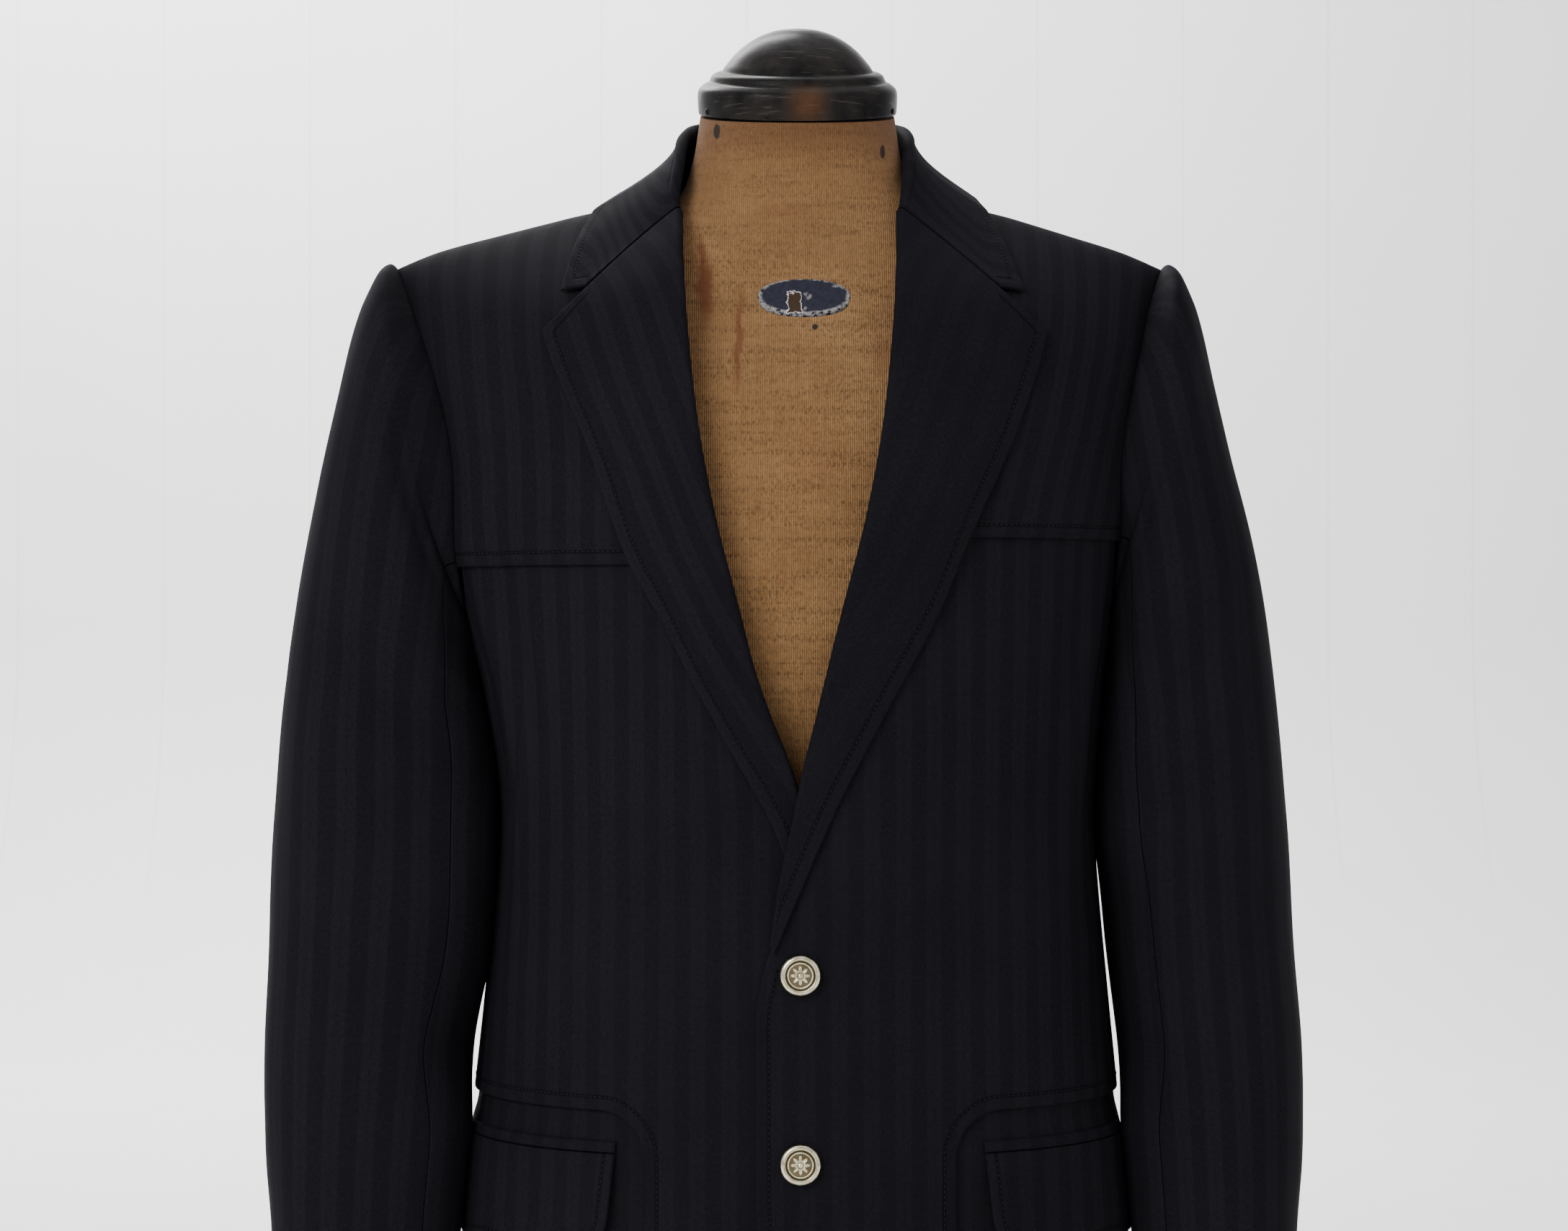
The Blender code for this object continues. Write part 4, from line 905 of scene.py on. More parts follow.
def collar_end(u):
    """The middle of the collar's cloth where it meets the lapel along the gorge, up to the notch, and from
    there to the collar's tip."""
    row = LAPEL[-1]
    along_gorge = unit(np.array((row[2] - row[0], row[3] - row[1])))
    gap = np.array((-along_gorge[1], along_gorge[0])) * 3 * SEAM_GAP
    shifted = [np.full(u.shape, row[k] + gap[k % 2]) for k in range(4)]
    notch = mix(LAPEL_BEND_END, 1, NOTCH_ON_LAPEL)
    share = np.clip((u - COLLAR_BEND_END) / (1 - COLLAR_BEND_END), 0, 1)
    stops = (0, COLLAR_BEND_START, COLLAR_BEND_END, mix(COLLAR_BEND_END, 1, NOTCH_SHARE))
    t = np.interp(u, stops, (0, LAPEL_BEND_START, LAPEL_BEND_END, notch))
    tip = seated(np.array((COLLAR_TIP[0], -0.08, COLLAR_TIP[1])), COLLAR_GAP, COLLAR_GAP)
    past = np.clip((share - NOTCH_SHARE) / (1 - NOTCH_SHARE), 0, 1)[..., None]
    return mix(on_lapel(-1, shifted, t), tip, past)


COLLAR_MIRRORED = COLLAR[-2::-1] * np.array((-1, 1, 1) * 3)
COLLAR_ROUND = numbered(np.concatenate((COLLAR, COLLAR_MIRRORED)))


def collar(u, v):
    """Surface through the middle of the collar's cloth: u 0 at the neck seam, up the stand, round the
    roll and down to the outer edge at u 1; v 0 at the left gorge, 1 at the right one."""
    row = np.moveaxis(along(COLLAR_ROUND, v), 0, -1)
    roll, edge, seam = row[..., 0:3], row[..., 3:6], row[..., 6:9]
    edge = seated(edge, COLLAR_GAP, COLLAR_GAP)
    outward = unit((edge - roll) * np.array((1, 1, 0)))
    centre = roll - np.array((0, 0, ROLL_R)) + outward * ROLL_R
    turn = np.pi * np.clip((u - COLLAR_BEND_START) / (COLLAR_BEND_END - COLLAR_BEND_START), 0, 1)[..., None]
    share = np.clip((u - COLLAR_BEND_END) / (1 - COLLAR_BEND_END), 0, 1)[..., None]
    stand = mix(seam, centre - outward * ROLL_R, np.clip(u / COLLAR_BEND_START, 0, 1)[..., None])
    bend = centre - outward * ROLL_R * np.cos(turn) + np.sin(turn) * np.array((0, 0, ROLL_R))
    sag = COLLAR_SAG * np.abs(outward[..., :1]) * np.sin(np.pi * share**0.8)
    fall = mix(centre + outward * ROLL_R, edge, share) - outward * sag
    fall = seated(fall, COLLAR_GAP)
    standing, bent = (u < COLLAR_BEND_START)[..., None], (u < COLLAR_BEND_END)[..., None]
    point = np.where(standing, stand, np.where(bent, bend, fall))
    end = collar_end(u) * stack(np.where(v <= 0.5, 1, -1), 1, 1)
    return mix(end, point, ease(np.minimum(v, 1 - v) * 2 / COLLAR_END_SHARE)[..., None])


def sleeve_ring(turn, share):
    """A sleeve's plain outline: turn 0 is its outer side, 90 degrees the front, 180 the inner side."""
    outer_x, outer_z, inner_x, inner_z, front_y, back_y = along(numbered(SLEEVE), share)
    across = power(np.cos(turn), 2 / SLEEVE_ROUNDNESS)
    ahead = power(np.sin(turn), 2 / SLEEVE_ROUNDNESS)
    x = mix((outer_x + inner_x) / 2, outer_x, across)
    z = mix((outer_z + inner_z) / 2, outer_z, across)
    return stack(x, mix((front_y + back_y) / 2, front_y, ahead), z)


def sleeve_point(turn, share, side):
    """A sleeve's outer cloth with its folds and creases, starting along the armhole seam."""
    degrees = wrapped(np.degrees(turn))
    fold = sum(
        depth * bell(wrapped(degrees - at) / (2 * width)) * bell((share - place) / (2 * length))
        for at, place, width, length, depth in SLEEVE_FOLDS
    )
    fold = fold + creases(SLEEVE_CREASES, degrees, share, side, (0.06, 0.66)) * ease(share / 0.06)
    angle, z = armhole(turn)
    over_lap = np.where(np.sin(turn) > 0, front_lift(-1, angle, z), 0.0)
    seam = cloth_point(angle, z, side) + cloth_face(angle, z, side) * over_lap[..., None]
    seam = seam + stack(0.0004, 0, 0)
    to_seam = seam - sleeve_ring(turn, np.zeros(np.shape(share)))
    to_seam = to_seam * (1 - ease(share / SLEEVE_JOIN))[..., None]
    upper_arm = ease((share - 0.05) / 0.13) * (1 - ease((share - (0.70 if side < 0 else 0.60)) / 0.08))
    lower_arm = ease((share - 0.765) / 0.08)
    tuck = (TUCK_UPPER_ARM * upper_arm + TUCK_FOREARM * lower_arm) * bell((degrees % 360 - 145) / 60)
    tuck = tuck + TUCK_UNDERARM * bell((share - 0.29) / 0.15) * bell((degrees % 360 - 168) / 55)
    out = stack(np.cos(turn), -np.sin(turn), 0) * fold[..., None]
    return sleeve_ring(turn, share) + to_seam + out - stack(tuck, 0, 0)


def hip_trim_place(u, v, z_foot, z_top, corner):
    """Angle and height on a welt or a flap, from its front end to its end at the side. A flap has
    rounded lower corners and a front edge that swings away from upright."""
    z = mix(z_foot, z_top, v)
    inset = 0 * z
    if corner:
        past = np.clip((z_foot + corner - z) / corner, 0, 1)
        inset = 1 - np.sqrt(1 - past**2)
    start_x = WELT_X + (corner * inset + FLAP_SWING * (1 - v) if corner else 0 * z)
    end = WELT_END - math.radians(4) * inset
    return mix(angle_at(start_x, z), end, u), z


class Value:
    """What a material's node works out, so that formulas of several nodes can be written as formulas."""

    def __init__(self, nodes, socket):
        self.nodes, self.socket = nodes, socket

    def __add__(self, other):
        return self.nodes.math("ADD", self, other)

    def __sub__(self, other):
        return self.nodes.math("SUBTRACT", self, other)

    def __mul__(self, other):
        return self.nodes.math("MULTIPLY", self, other)

    def __truediv__(self, other):
        return self.nodes.math("DIVIDE", self, other)

    def __abs__(self):
        return self.nodes.math("ABSOLUTE", self)


class Nodes:
    """A material, its shader and short calls that add nodes to it. Colours are given without alpha."""

    def __init__(self, name, **constant):
        self.material = bpy.data.materials.new(name)
        self.material.use_nodes = True
        self.tree = self.material.node_tree
        self.shader = self.tree.nodes["Principled BSDF"]
        for key, value in constant.items():
            self.put(self.shader.inputs[key.replace("_", " ")], value)

    def put(self, socket, value):
        if isinstance(value, Value):
            self.tree.links.new(value.socket, socket)
        elif isinstance(value, tuple):
            socket.default_value = (*value, 1)
        else:
            socket.default_value = value

    def node(self, kind, values=(), sockets=range(5), output=0, **settings):
        """A new node with its settings and the values of some sockets, and what it works out."""
        made = self.tree.nodes.new(kind)
        for key, value in settings.items():
            setattr(made, key, value)
        for socket, value in zip(sockets, values):
            self.put(made.inputs[socket], value)
        return Value(self, made.outputs[output])

    def math(self, operation, *values, clamp=False):
        return self.node("ShaderNodeMath", values, operation=operation, use_clamp=clamp)

    def mix(self, share, a, b):
        return self.node("ShaderNodeMix", (share, a, b), (0, 6, 7), 2, data_type="RGBA")

    def span(self, value, low, high, to_low=0.0, to_high=1.0):
        values = (value, low, high, to_low, to_high)
        return self.node("ShaderNodeMapRange", values, interpolation_type="SMOOTHSTEP")

    def place(self):
        return self.node("ShaderNodeTexCoord", output="Object")

    def attribute(self, name):
        return self.node("ShaderNodeAttribute", output="Fac", attribute_name=name)

    def split(self, vector):
        whole = self.node("ShaderNodeSeparateXYZ", (vector,))
        return [Value(self, output) for output in whole.socket.node.outputs]

    def uv(self):
        return self.split(self.node("ShaderNodeUVMap", uv_map="UVMap"))[:2]

    def noise(self, scale, detail=3.0, roughness=0.5, vector=None):
        """Noise over the object, or over a vector."""
        values = (vector or self.place(), scale, detail, roughness)
        return self.node("ShaderNodeTexNoise", values, ("Vector", "Scale", "Detail", "Roughness"), "Fac")

    def grain(self, *stretched, detail=3.0, roughness=0.5):
        """Noise over coordinates that are each scaled by its own number."""
        return self.noise(1.0, detail, roughness, self.node("ShaderNodeCombineXYZ", stretched))

    def wave(self, length, pitch):
        """A sine wave of a pitch."""
        return self.math("SINE", length * (2 * math.pi / pitch))

    def oval(self, x, z, at_x, at_z, half_x, half_z):
        """Distance from the middle of an oval, 1 on its outline."""
        squares = [self.math("POWER", far, 2.0) for far in ((x - at_x) / half_x, (z - at_z) / half_z)]
        return self.math("SQRT", squares[0] + squares[1])

    def done(self, tone, roughness, height=None, distance=0.0, strength=1.0):
        """The material with its colour, roughness and relief."""
        self.put(self.shader.inputs["Base Color"], tone)
        self.put(self.shader.inputs["Roughness"], roughness)
        if height:
            values, sockets = (strength, distance, height), ("Strength", "Distance", "Height")
            self.put(self.shader.inputs["Normal"], self.node("ShaderNodeBump", values, sockets))
        return self.material


TWILL = 0.0011
WALE = 0.00125
COURSE = 0.0011

# Stains of the jersey: x and z of the middle, half width, half height, strength
STAINS = (
    (-0.0545, 0.800, 0.0055, 0.0240, 0.85),
    (-0.0560, 0.822, 0.0030, 0.0130, 0.60),
    (-0.0350, 0.768, 0.0026, 0.0320, 0.70),
    (0.0480, 0.760, 0.0060, 0.0140, 0.22),
    (0.0100, 0.700, 0.0180, 0.0240, 0.20),
    (-0.0080, 0.848, 0.0160, 0.0060, 0.22),
)

# Small holes in the jersey: x and z of the middle, half width, half height
HOLES = (
    (-0.0480, 0.8955, 0.0020, 0.0048),
    (0.0500, 0.8840, 0.0016, 0.0044),
    (0.0092, 0.7767, 0.0018, 0.0018),
)


def suiting(name, contrast):
    """Near-black worsted in a shadow stripe: twill bands of two directions, a fine line in the light one,
    and a pressed furrow along each row of stitching, darkened with painted shade."""
    m = Nodes(name, Specular_IOR_Level=0.025, Sheen_Weight=0.005, Sheen_Roughness=0.38,
              Sheen_Tint=(0.62, 0.68, 1.0))
    across, up = m.uv()
    drift = m.noise(9.0, 2.0) * 0.0012
    from_middle = abs(m.math("FRACT", (across + drift) / STRIPE) - 0.5)
    band = m.span(from_middle, 0.29, 0.22)
    line = m.span(from_middle, 0.030, 0.012)
    beside = m.span(from_middle, 0.20, 0.185) * m.span(from_middle, 0.15, 0.165)
    other_band = m.math("SUBTRACT", 1.0, band)
    twill = m.wave(across + up, TWILL) * band + m.wave(across - up, TWILL) * other_band
    nap = m.noise(900.0, 4.0, 0.65)
    cloud = m.noise(14.0)
    strength = m.span(m.noise(3.2, 2.0), 0.25, 0.75, 0.70, 1.15) * contrast
    light = (band * 0.155 + beside * 0.045) * strength + line * (strength * -0.09)
    light = light + (nap - 0.5) * 0.80 + (cloud - 0.5) * 0.30 + 0.16
    light = m.math("ADD", light, twill * 0.08, clamp=True)
    threads = m.grain(across * 700.0, up * 420.0, roughness=0.7)
    light = m.math("ADD", light, (threads - 0.5) * 0.80, clamp=True)
    tone = m.mix(light, (0.0064, 0.0062, 0.0080), (0.0174, 0.0168, 0.0214))
    lint = m.span(m.noise(260.0, 2.0, 0.8), 0.74, 0.80)
    tone = m.mix(lint * 0.22, tone, (0.055, 0.054, 0.056))
    stitch = abs(m.attribute("stitch"))
    groove_and_shade = m.span(stitch, 0.0016, 0.0002)
    # Painted shade: the cloth is darkened along the pressed furrow of each row of stitching
    tone = m.mix(groove_and_shade * 0.80, tone, (0.0032, 0.0032, 0.0044))
    pucker = m.span(stitch, 0.010, 0.002) * m.noise(130.0, 2.0)
    height = twill * 0.030 + nap * 0.10 + pucker * 0.35 + cloud * 0.8 - groove_and_shade * 0.30
    return m.done(tone, (nap - 0.5) * 0.25 + 0.76 - band * 0.02, height, 0.0007, 0.8)


def thread():
    """Dark sewing thread."""
    m = Nodes("sewing_thread", Specular_IOR_Level=0.16)
    tone = m.noise(1800.0, 2.0)
    return m.done(m.mix(tone, (0.0035, 0.0035, 0.0050), (0.0150, 0.0150, 0.0195)), 0.60, tone, 0.0001)


def jersey():
    """Old tan knit jersey with wales and dark flecks in rows, darker at the neck, stained and holed."""
    m = Nodes("knit_jersey", Specular_IOR_Level=0.12, Sheen_Weight=0.06, Sheen_Roughness=0.5)
    across, up = m.uv()
    x, y, z = m.split(m.place())
    cloud = m.noise(16.0, 5.0, 0.6)
    fine = m.noise(420.0, 3.0, 0.6)
    wale, course = m.wave(across, WALE), m.wave(up, COURSE)
    slub = m.grain(across * 480.0, up * 26.0, detail=2.0)
    fleck = m.grain(across * 800.0, up * 330.0, roughness=0.7)
    streak = m.grain(across * 14.0, up * 200.0, roughness=0.6)
    mottle = m.grain(across * 150.0, up * 300.0, detail=4.0, roughness=0.8)
    tone = m.mix(m.span(cloud, 0.34, 0.68), (0.285, 0.148, 0.056), (0.385, 0.212, 0.084))
    for share, colour in (
        (m.span(slub, 0.35, 0.7) * 0.34, (0.385, 0.225, 0.106)),
        (m.span(wale, -0.1, 1.0) * 0.62, (0.135, 0.070, 0.027)),
        (m.span(fleck, 0.47, 0.62) * m.span(streak, 0.40, 0.62, 0.25, 0.78), (0.075, 0.038, 0.014)),
        (m.span(streak, 0.50, 0.66) * 0.22, (0.135, 0.070, 0.027)),
        (m.span(mottle, 0.42, 0.62) * 0.26, (0.115, 0.058, 0.022)),
        (m.span(fine, 0.3, 0.7) * 0.20, (0.150, 0.082, 0.036)),
        (m.span(z, 0.80, 0.87) * 0.30, (0.190, 0.098, 0.042)),
        (m.span(z, 0.868, 0.905) * 0.55, (0.120, 0.050, 0.024)),
    ):
        tone = m.mix(share, tone, colour)
    waver = (m.noise(60.0) - 0.5) * 0.012
    in_front = m.span(y, 0.03, -0.01)
    for *oval, strength in STAINS:
        near = m.span(m.oval(x + waver, z + waver, *oval), 1.25, 0.35) * in_front
        tone = m.mix(near * strength, tone, (0.130, 0.040, 0.016))
    for oval in HOLES:
        far = m.oval(x, z, *oval) + (fine - 0.5) * 0.6
        tone = m.mix(m.span(far, 1.05, 0.80) * m.span(y, 0.0, -0.01), tone, (0.030, 0.022, 0.016))
    knit = wale * -0.5 + course * 0.22 + cloud * 1.5
    return m.done(tone, m.span(fine, 0.2, 0.8, 0.78, 0.95), knit, 0.00030, 0.8)


def bronze():
    """Dark bronzed metal, scratched, with the copper showing at the front of the rim."""
    m = Nodes("worn_bronze", Metallic=0.04, Specular_IOR_Level=0.05)
    x, y, z = m.split(m.place())
    cloud = m.noise(34.0, 5.0, 0.65)
    scratch = m.grain(x * 60.0, y * 60.0, z * 700.0)
    tone = m.mix(m.span(cloud, 0.35, 0.70), (0.0085, 0.0080, 0.0080), (0.026, 0.023, 0.020))
    tone = m.mix(m.span(scratch, 0.60, 0.72) * 0.22, tone, (0.16, 0.13, 0.10))
    front = m.span(abs(x - 0.005), 0.017, 0.001) * m.span(y, -0.045, -0.056) * m.span(z, 0.9225, 0.9110)
    worn = front * m.span(m.noise(60.0, 3.0, 0.6), 0.25, 0.60, 0.5, 1.0)
    tone = m.mix(worn * 0.48, tone, (0.130, 0.056, 0.020))
    return m.done(tone, m.span(cloud, 0.25, 0.75, 0.26, 0.44), cloud + scratch * 0.3, 0.0002, 0.6)


def gilt():
    """Pale gold plating, mottled, with painted shade in the recesses of its relief, in its channel and round
    its rolled outer edge, which are also rougher.
    """
    m = Nodes("pale_gilt", Metallic=1.0)
    in_shade = m.attribute("painted_shade")
    cloud = m.noise(260.0, 4.0, 0.6)
    tone = m.mix(m.span(cloud, 0.35, 0.70), (0.68, 0.61, 0.39), (0.93, 0.88, 0.66))
    # Painted shade darkens the gold where the button's mesh marks it
    tone = m.mix(m.span(in_shade, 0.10, 0.85) * 0.88, tone, (0.085, 0.058, 0.016))
    return m.done(tone, m.span(cloud, 0.3, 0.7, 0.12, 0.24) + in_shade * 0.30, cloud, 0.0001, 0.4)


def walnut():
    """Dark varnished wood with grain and pores."""
    m = Nodes("varnished_walnut", Coat_Weight=0.35, Coat_Roughness=0.25)
    x, y, z = m.split(m.place())
    grain = m.grain(x * 9.0, y * 130.0, z * 30.0, detail=6.0, roughness=0.6)
    pores = m.grain(x * 60.0, y * 900.0, z * 300.0, detail=2.0)
    tone = m.mix(m.span(grain, 0.35, 0.68), (0.030, 0.013, 0.006), (0.115, 0.055, 0.026))
    tone = m.mix(m.span(pores, 0.58, 0.66) * 0.6, tone, (0.014, 0.007, 0.004))
    return m.done(tone, m.span(grain, 0.3, 0.7, 0.28, 0.45), grain + pores, 0.0003, 0.5)


def label_cloth():
    """Faded dark-blue cloth, worn pale along its edge, with a ragged tear that shows the jersey."""
    m = Nodes("faded_label", Specular_IOR_Level=0.12)
    x, _, z = m.split(m.place())
    cloud = m.noise(420.0, 4.0, 0.7)
    weave = m.noise(2600.0, 2.0)
    tone = m.mix(m.span(cloud, 0.3, 0.7), (0.008, 0.009, 0.019), (0.022, 0.023, 0.040))
    worn = m.span(m.attribute("rim"), 0.0013, 0.0003) * m.span(cloud, 0.40, 0.56) * 0.75
    rubbed = m.span(m.noise(120.0, 2.0), 0.66, 0.72) * 0.45
    tone = m.mix(m.math("MAXIMUM", worn, rubbed), tone, (0.40, 0.38, 0.35))
    tone = m.mix(weave * 0.06, tone, (0.20, 0.19, 0.19))
    from_tear = m.math("MAXIMUM", abs(x + 0.0024) / 0.0038, abs(z - 0.7912) / 0.0060)
    torn = from_tear + (m.noise(300.0, 3.0, 0.6) - 0.5) * 1.5
    tone = m.mix(m.span(torn, 1.16, 1.08), tone, (0.62, 0.60, 0.56))
    tone = m.mix(m.span(torn, 1.02, 0.96), tone, (0.045, 0.026, 0.015))
    return m.done(tone, m.span(cloud, 0.3, 0.7, 0.50, 0.75), cloud + weave, 0.0002, 0.6)


def painted_boards():
    """White paint on boards whose upright joints only just show."""
    m = Nodes("painted_boards", Specular_IOR_Level=0.2)
    x, y, _ = m.split(m.place())
    tone = m.mix(m.noise(6.0, 2.0), (0.885, 0.880, 0.865), (0.925, 0.920, 0.905))
    across = m.math("FRACT", (x + (10 * BOARD + BOARD_JOINT_X)) / BOARD)
    joint = m.span(abs(across - 0.5), 0.016, 0.004) * m.span(y, WALL_Y - 0.2, WALL_Y - 0.05)
    return m.done(m.mix(joint * 0.10, tone, (0.20, 0.19, 0.18)), 0.9)


CLOTH_FINISH = suiting("shadow_stripe_worsted", 1.0)
# A copy of the cloth with its stripes muted: painted low light for the wearer's left lapel, which is turned
# away from the key light
LAPEL_PAINTED_LOW_LIGHT_FINISH = suiting("shadow_stripe_worsted_painted_dim", 0.35)
THREAD = thread()
JERSEY = jersey()
BRONZE = bronze()
GILT = gilt()
LABEL = label_cloth()


def panel(name, place, high, side, node, seams=None, from_back=False, distances=None, lean=0.0,
          mapped=True, rows=None):
    """A piece of cloth on the torso, whose stripes run upright."""

    def surface(u, v):
        angle, z = place(u, v)
        return cloth_point(angle, z, side)

    def face(u, v):
        angle, z = place(u, v)
        return cloth_face(angle, z, side)

    def top(u, v):
        return high(*place(u, v))

    shell = Shell(surface, top, CLOTH, face=face if mapped else None, distances=distances, rows=rows)
    angle, z = place(shell.u, shell.v)
    across = around(np.pi, z) - around(angle, z) if from_back else around(angle, z)
    stripes = stack(across + STRIPE_START - lean * (z - YOKE_SEAM_Z), z)
    away = seams(shell, angle, z) if seams else None
    cloth_object(name, shell, side, CLOTH_FINISH, stripes, away, node)


def torso_line(angles, heights, lift, side):
    """Points and facings of a line on the torso's cloth."""
    face = cloth_face(angles, heights, side)
    return cloth_point(angles, heights, side) + face * lift[..., None], face


def build_side(side, word):
    """The body panels, pocket and topstitching of one side."""

    def front_high(angle, z):
        return flap_over(angle, z) if side > 0 else 0 * z

    def front_distances(u, v, plain_ones):
        angle, z = front_place(u, v)
        far = np.where(v < ROW_SIDE, np.maximum(from_hip_seam(angle, z), 0), np.minimum(plain_ones[1], 0.1))
        far = np.where(u >= 1, 0.0, far)
        return [plain_ones[0], far, plain_ones[2], plain_ones[3]]

    def front_seams(shell, angle, z):
        edge_sewn = (z < TOPSTITCH_TOP_Z) & (side > 0)
        from_edge = np.where(edge_sewn, shell.from_edges[0], NO_SEAM)
        return np.minimum(from_edge - TOPSTITCH, from_hip_seam(angle, z) - TOPSTITCH)

    stops = np.array((0, ROW_CORNER, ROW_SIDE, 1))
    rows = np.unique(np.concatenate((
        spaced(0.185, 0.004, (True, False)) * stops[1],
        mix(stops[1], stops[2], np.linspace(0, 1, 44)),
        mix(stops[2], stops[3], spaced(0.323, 0.004, (False, True))),
    )))
    panel(f"cloth_front_{word}", front_place, front_high, side, f"front_{word}", front_seams,
          distances=front_distances, rows=rows)

    def yoke_angle(u, v):
        x, z = yoke_place(u, v)
        return angle_at(x, z), z

    def yoke_high(angle, z):
        return front_lift(side, angle, z)

    def yoke_seams(shell, angle, z):
        return shell.from_edges[2] - TOPSTITCH

    panel(f"cloth_yoke_{word}", yoke_angle, yoke_high, side, f"front_yoke_{word}", yoke_seams,
          lean=0.24 if side > 0 else 0.03, mapped=False)
    panel(f"cloth_side_{word}", side_place, lambda angle, z: 0 * z, side, f"side_panel_{word}",
          lambda shell, angle, z: z - HIP_SEAM_Z - TOPSTITCH)
    panel(f"cloth_back_{word}", back_place, lambda angle, z: 0 * z, side, f"back_{word}",
          from_back=True, mapped=False)
    panel(f"cloth_hip_{word}", hip_place, hip_sink, side, f"hip_panel_{word}")
    build_pocket(side, word)
    build_topstitching(side, word)


def build_pocket(side, word):
    """The welt and flap of a hip pocket."""

    def surface_of(place):
        return lambda u, v: cloth_point(*place(u, v), side)

    def welt_place(u, v):
        return hip_trim_place(u, v, WELT_Z - WELT_TALL, WELT_Z, 0)

    def flap_place(u, v):
        return hip_trim_place(u, v, FLAP_FOOT_Z, WELT_Z - WELT_TALL - SEAM_GAP, FLAP_CORNER_R)

    def welt_high(u, v):
        return hip_sink(*welt_place(u, v)) + FLAP_GAP + WELT_CLOTH - 0.0006 * np.abs(2 * v - 1)

    def flap_high(u, v):
        down = 1 - v
        stand_off = 0.0020 * down + 0.0050 * down * (1 - ease(u / 0.30))
        return hip_sink(*flap_place(u, v)) + FLAP_GAP + stand_off + FLAP_CLOTH

    for kind, place, high, thick, cell in (
        ("welt", welt_place, welt_high, WELT_CLOTH, 0.0018),
        ("flap", flap_place, flap_high, FLAP_CLOTH, 0.0025),
    ):
        shell = Shell(surface_of(place), high, thick, cell=cell)
        angle, z = place(shell.u, shell.v)
        stripes = stack(around(angle, z) + STRIPE_START, z)
        away = None
        if kind == "flap":
            away = np.minimum.reduce(shell.from_edges[:3]) - FLAP_TOPSTITCH
        cloth_object(f"cloth_{kind}_{word}", shell, side, CLOTH_FINISH, stripes, away,
                     f"pocket_{kind}_{word}")
    edges = ((2, (0, 1)), (0, (2,)), (1, (2,)))
    rows = [shell.row_inside(edge, FLAP_TOPSTITCH, stop=stop) for edge, stop in edges]
    stitches(f"flap_stitches_{word}", rows, side, THREAD)


def build_topstitching(side, word):
    """Rows of stitches along the hip seam, the yoke seam and the front edge."""
    lines = []
    low = np.arange(HEM_Z + 0.004, HIP_SEAM_Z - HIP_CORNER_R, 0.004)
    upright = around(angle_at(HIP_SEAM_X, low), low) - TOPSTITCH
    corner = np.linspace(0, np.pi / 2, 16)
    radius = HIP_CORNER_R + TOPSTITCH
    corner_z = HIP_SEAM_Z - HIP_CORNER_R + radius * np.sin(corner)
    seam_there = around(angle_at(HIP_SEAM_X, corner_z), corner_z)
    corner_s = seam_there + HIP_CORNER_R - radius * np.cos(corner)
    top_z = HIP_SEAM_Z + TOPSTITCH
    last = around(SIDE_SEAM_FRONT, top_z) - 0.001
    level = np.arange(corner_s[-1] + 0.003, last, 0.004)
    heights = np.concatenate((low, corner_z, np.full(len(level), top_z)))
    angles = angle_of(np.concatenate((upright, corner_s, level)), heights)
    lift = flap_over(angles, heights) if side > 0 else 0 * heights
    lines.append(torso_line(angles, heights, lift + 0.0001, side))
    side_angles = np.linspace(SIDE_SEAM_FRONT + 0.008, SIDE_SEAM_BACK - 0.008, 30)
    lines.append(torso_line(side_angles, np.full(30, top_z), np.zeros(30), side))
    yoke_u = np.linspace(0.02, 0.985, 60)
    x, z = yoke_place(yoke_u, np.zeros(60))
    z = z + TOPSTITCH
    angles = angle_at(x, z)
    lines.append(torso_line(angles, z, front_lift(side, angles, z), side))
    if side > 0:
        z = np.arange(HEM_Z + 0.006, TOPSTITCH_TOP_Z, 0.004)
        edge = around(angle_at(front_edge_x(z), z), z)
        angles = angle_of(edge + TOPSTITCH, z)
        lines.append(torso_line(angles, z, flap_over(angles, z), side))
    stitches(f"body_stitches_{word}", lines, side, THREAD)


def build_sleeves(side, word):
    """The two parts of a sleeve."""
    gap = SEAM_GAP / 0.08
    parts = (
        ("top", SLEEVE_SEAM_BACK, SLEEVE_SEAM_FRONT),
        ("under", SLEEVE_SEAM_FRONT, SLEEVE_SEAM_BACK + 2 * math.pi),
    )
    for kind, start, end in parts:

        def surface(u, v):
            return sleeve_point(mix(end - gap, start + gap, u), v, side)

        shell = Shell(surface, 0.0, CLOTH)
        axis_x, axis_y = along(SLEEVE_AXIS, shell.outer[..., 2])
        round_it = np.arctan2(axis_y - shell.outer[..., 1], shell.outer[..., 0] - axis_x)
        round_it = np.where((round_it < -2.0) & (kind == "under"), round_it + 2 * np.pi, round_it)
        stripes = stack(round_it * 0.058, shell.outer[..., 2])
        cloth_object(f"cloth_sleeve_{kind}_{word}", shell, side, CLOTH_FINISH, stripes, None,
                     f"sleeve_{kind}_{word}")


def fold_columns(start, end, fall_width):
    """Shares across a lapel or collar: closer round the roll and near the outer edge."""
    near = 1 - np.array((0.0055, 0.0019, 0.0009, 0.00035, 0.0)) / fall_width * (1 - end)
    fall = np.linspace(end, near[0], int(fall_width / 0.0026))[:-1]
    return np.concatenate((np.linspace(0, start, 6)[:-1], np.linspace(start, end, 18)[:-1], fall, near))


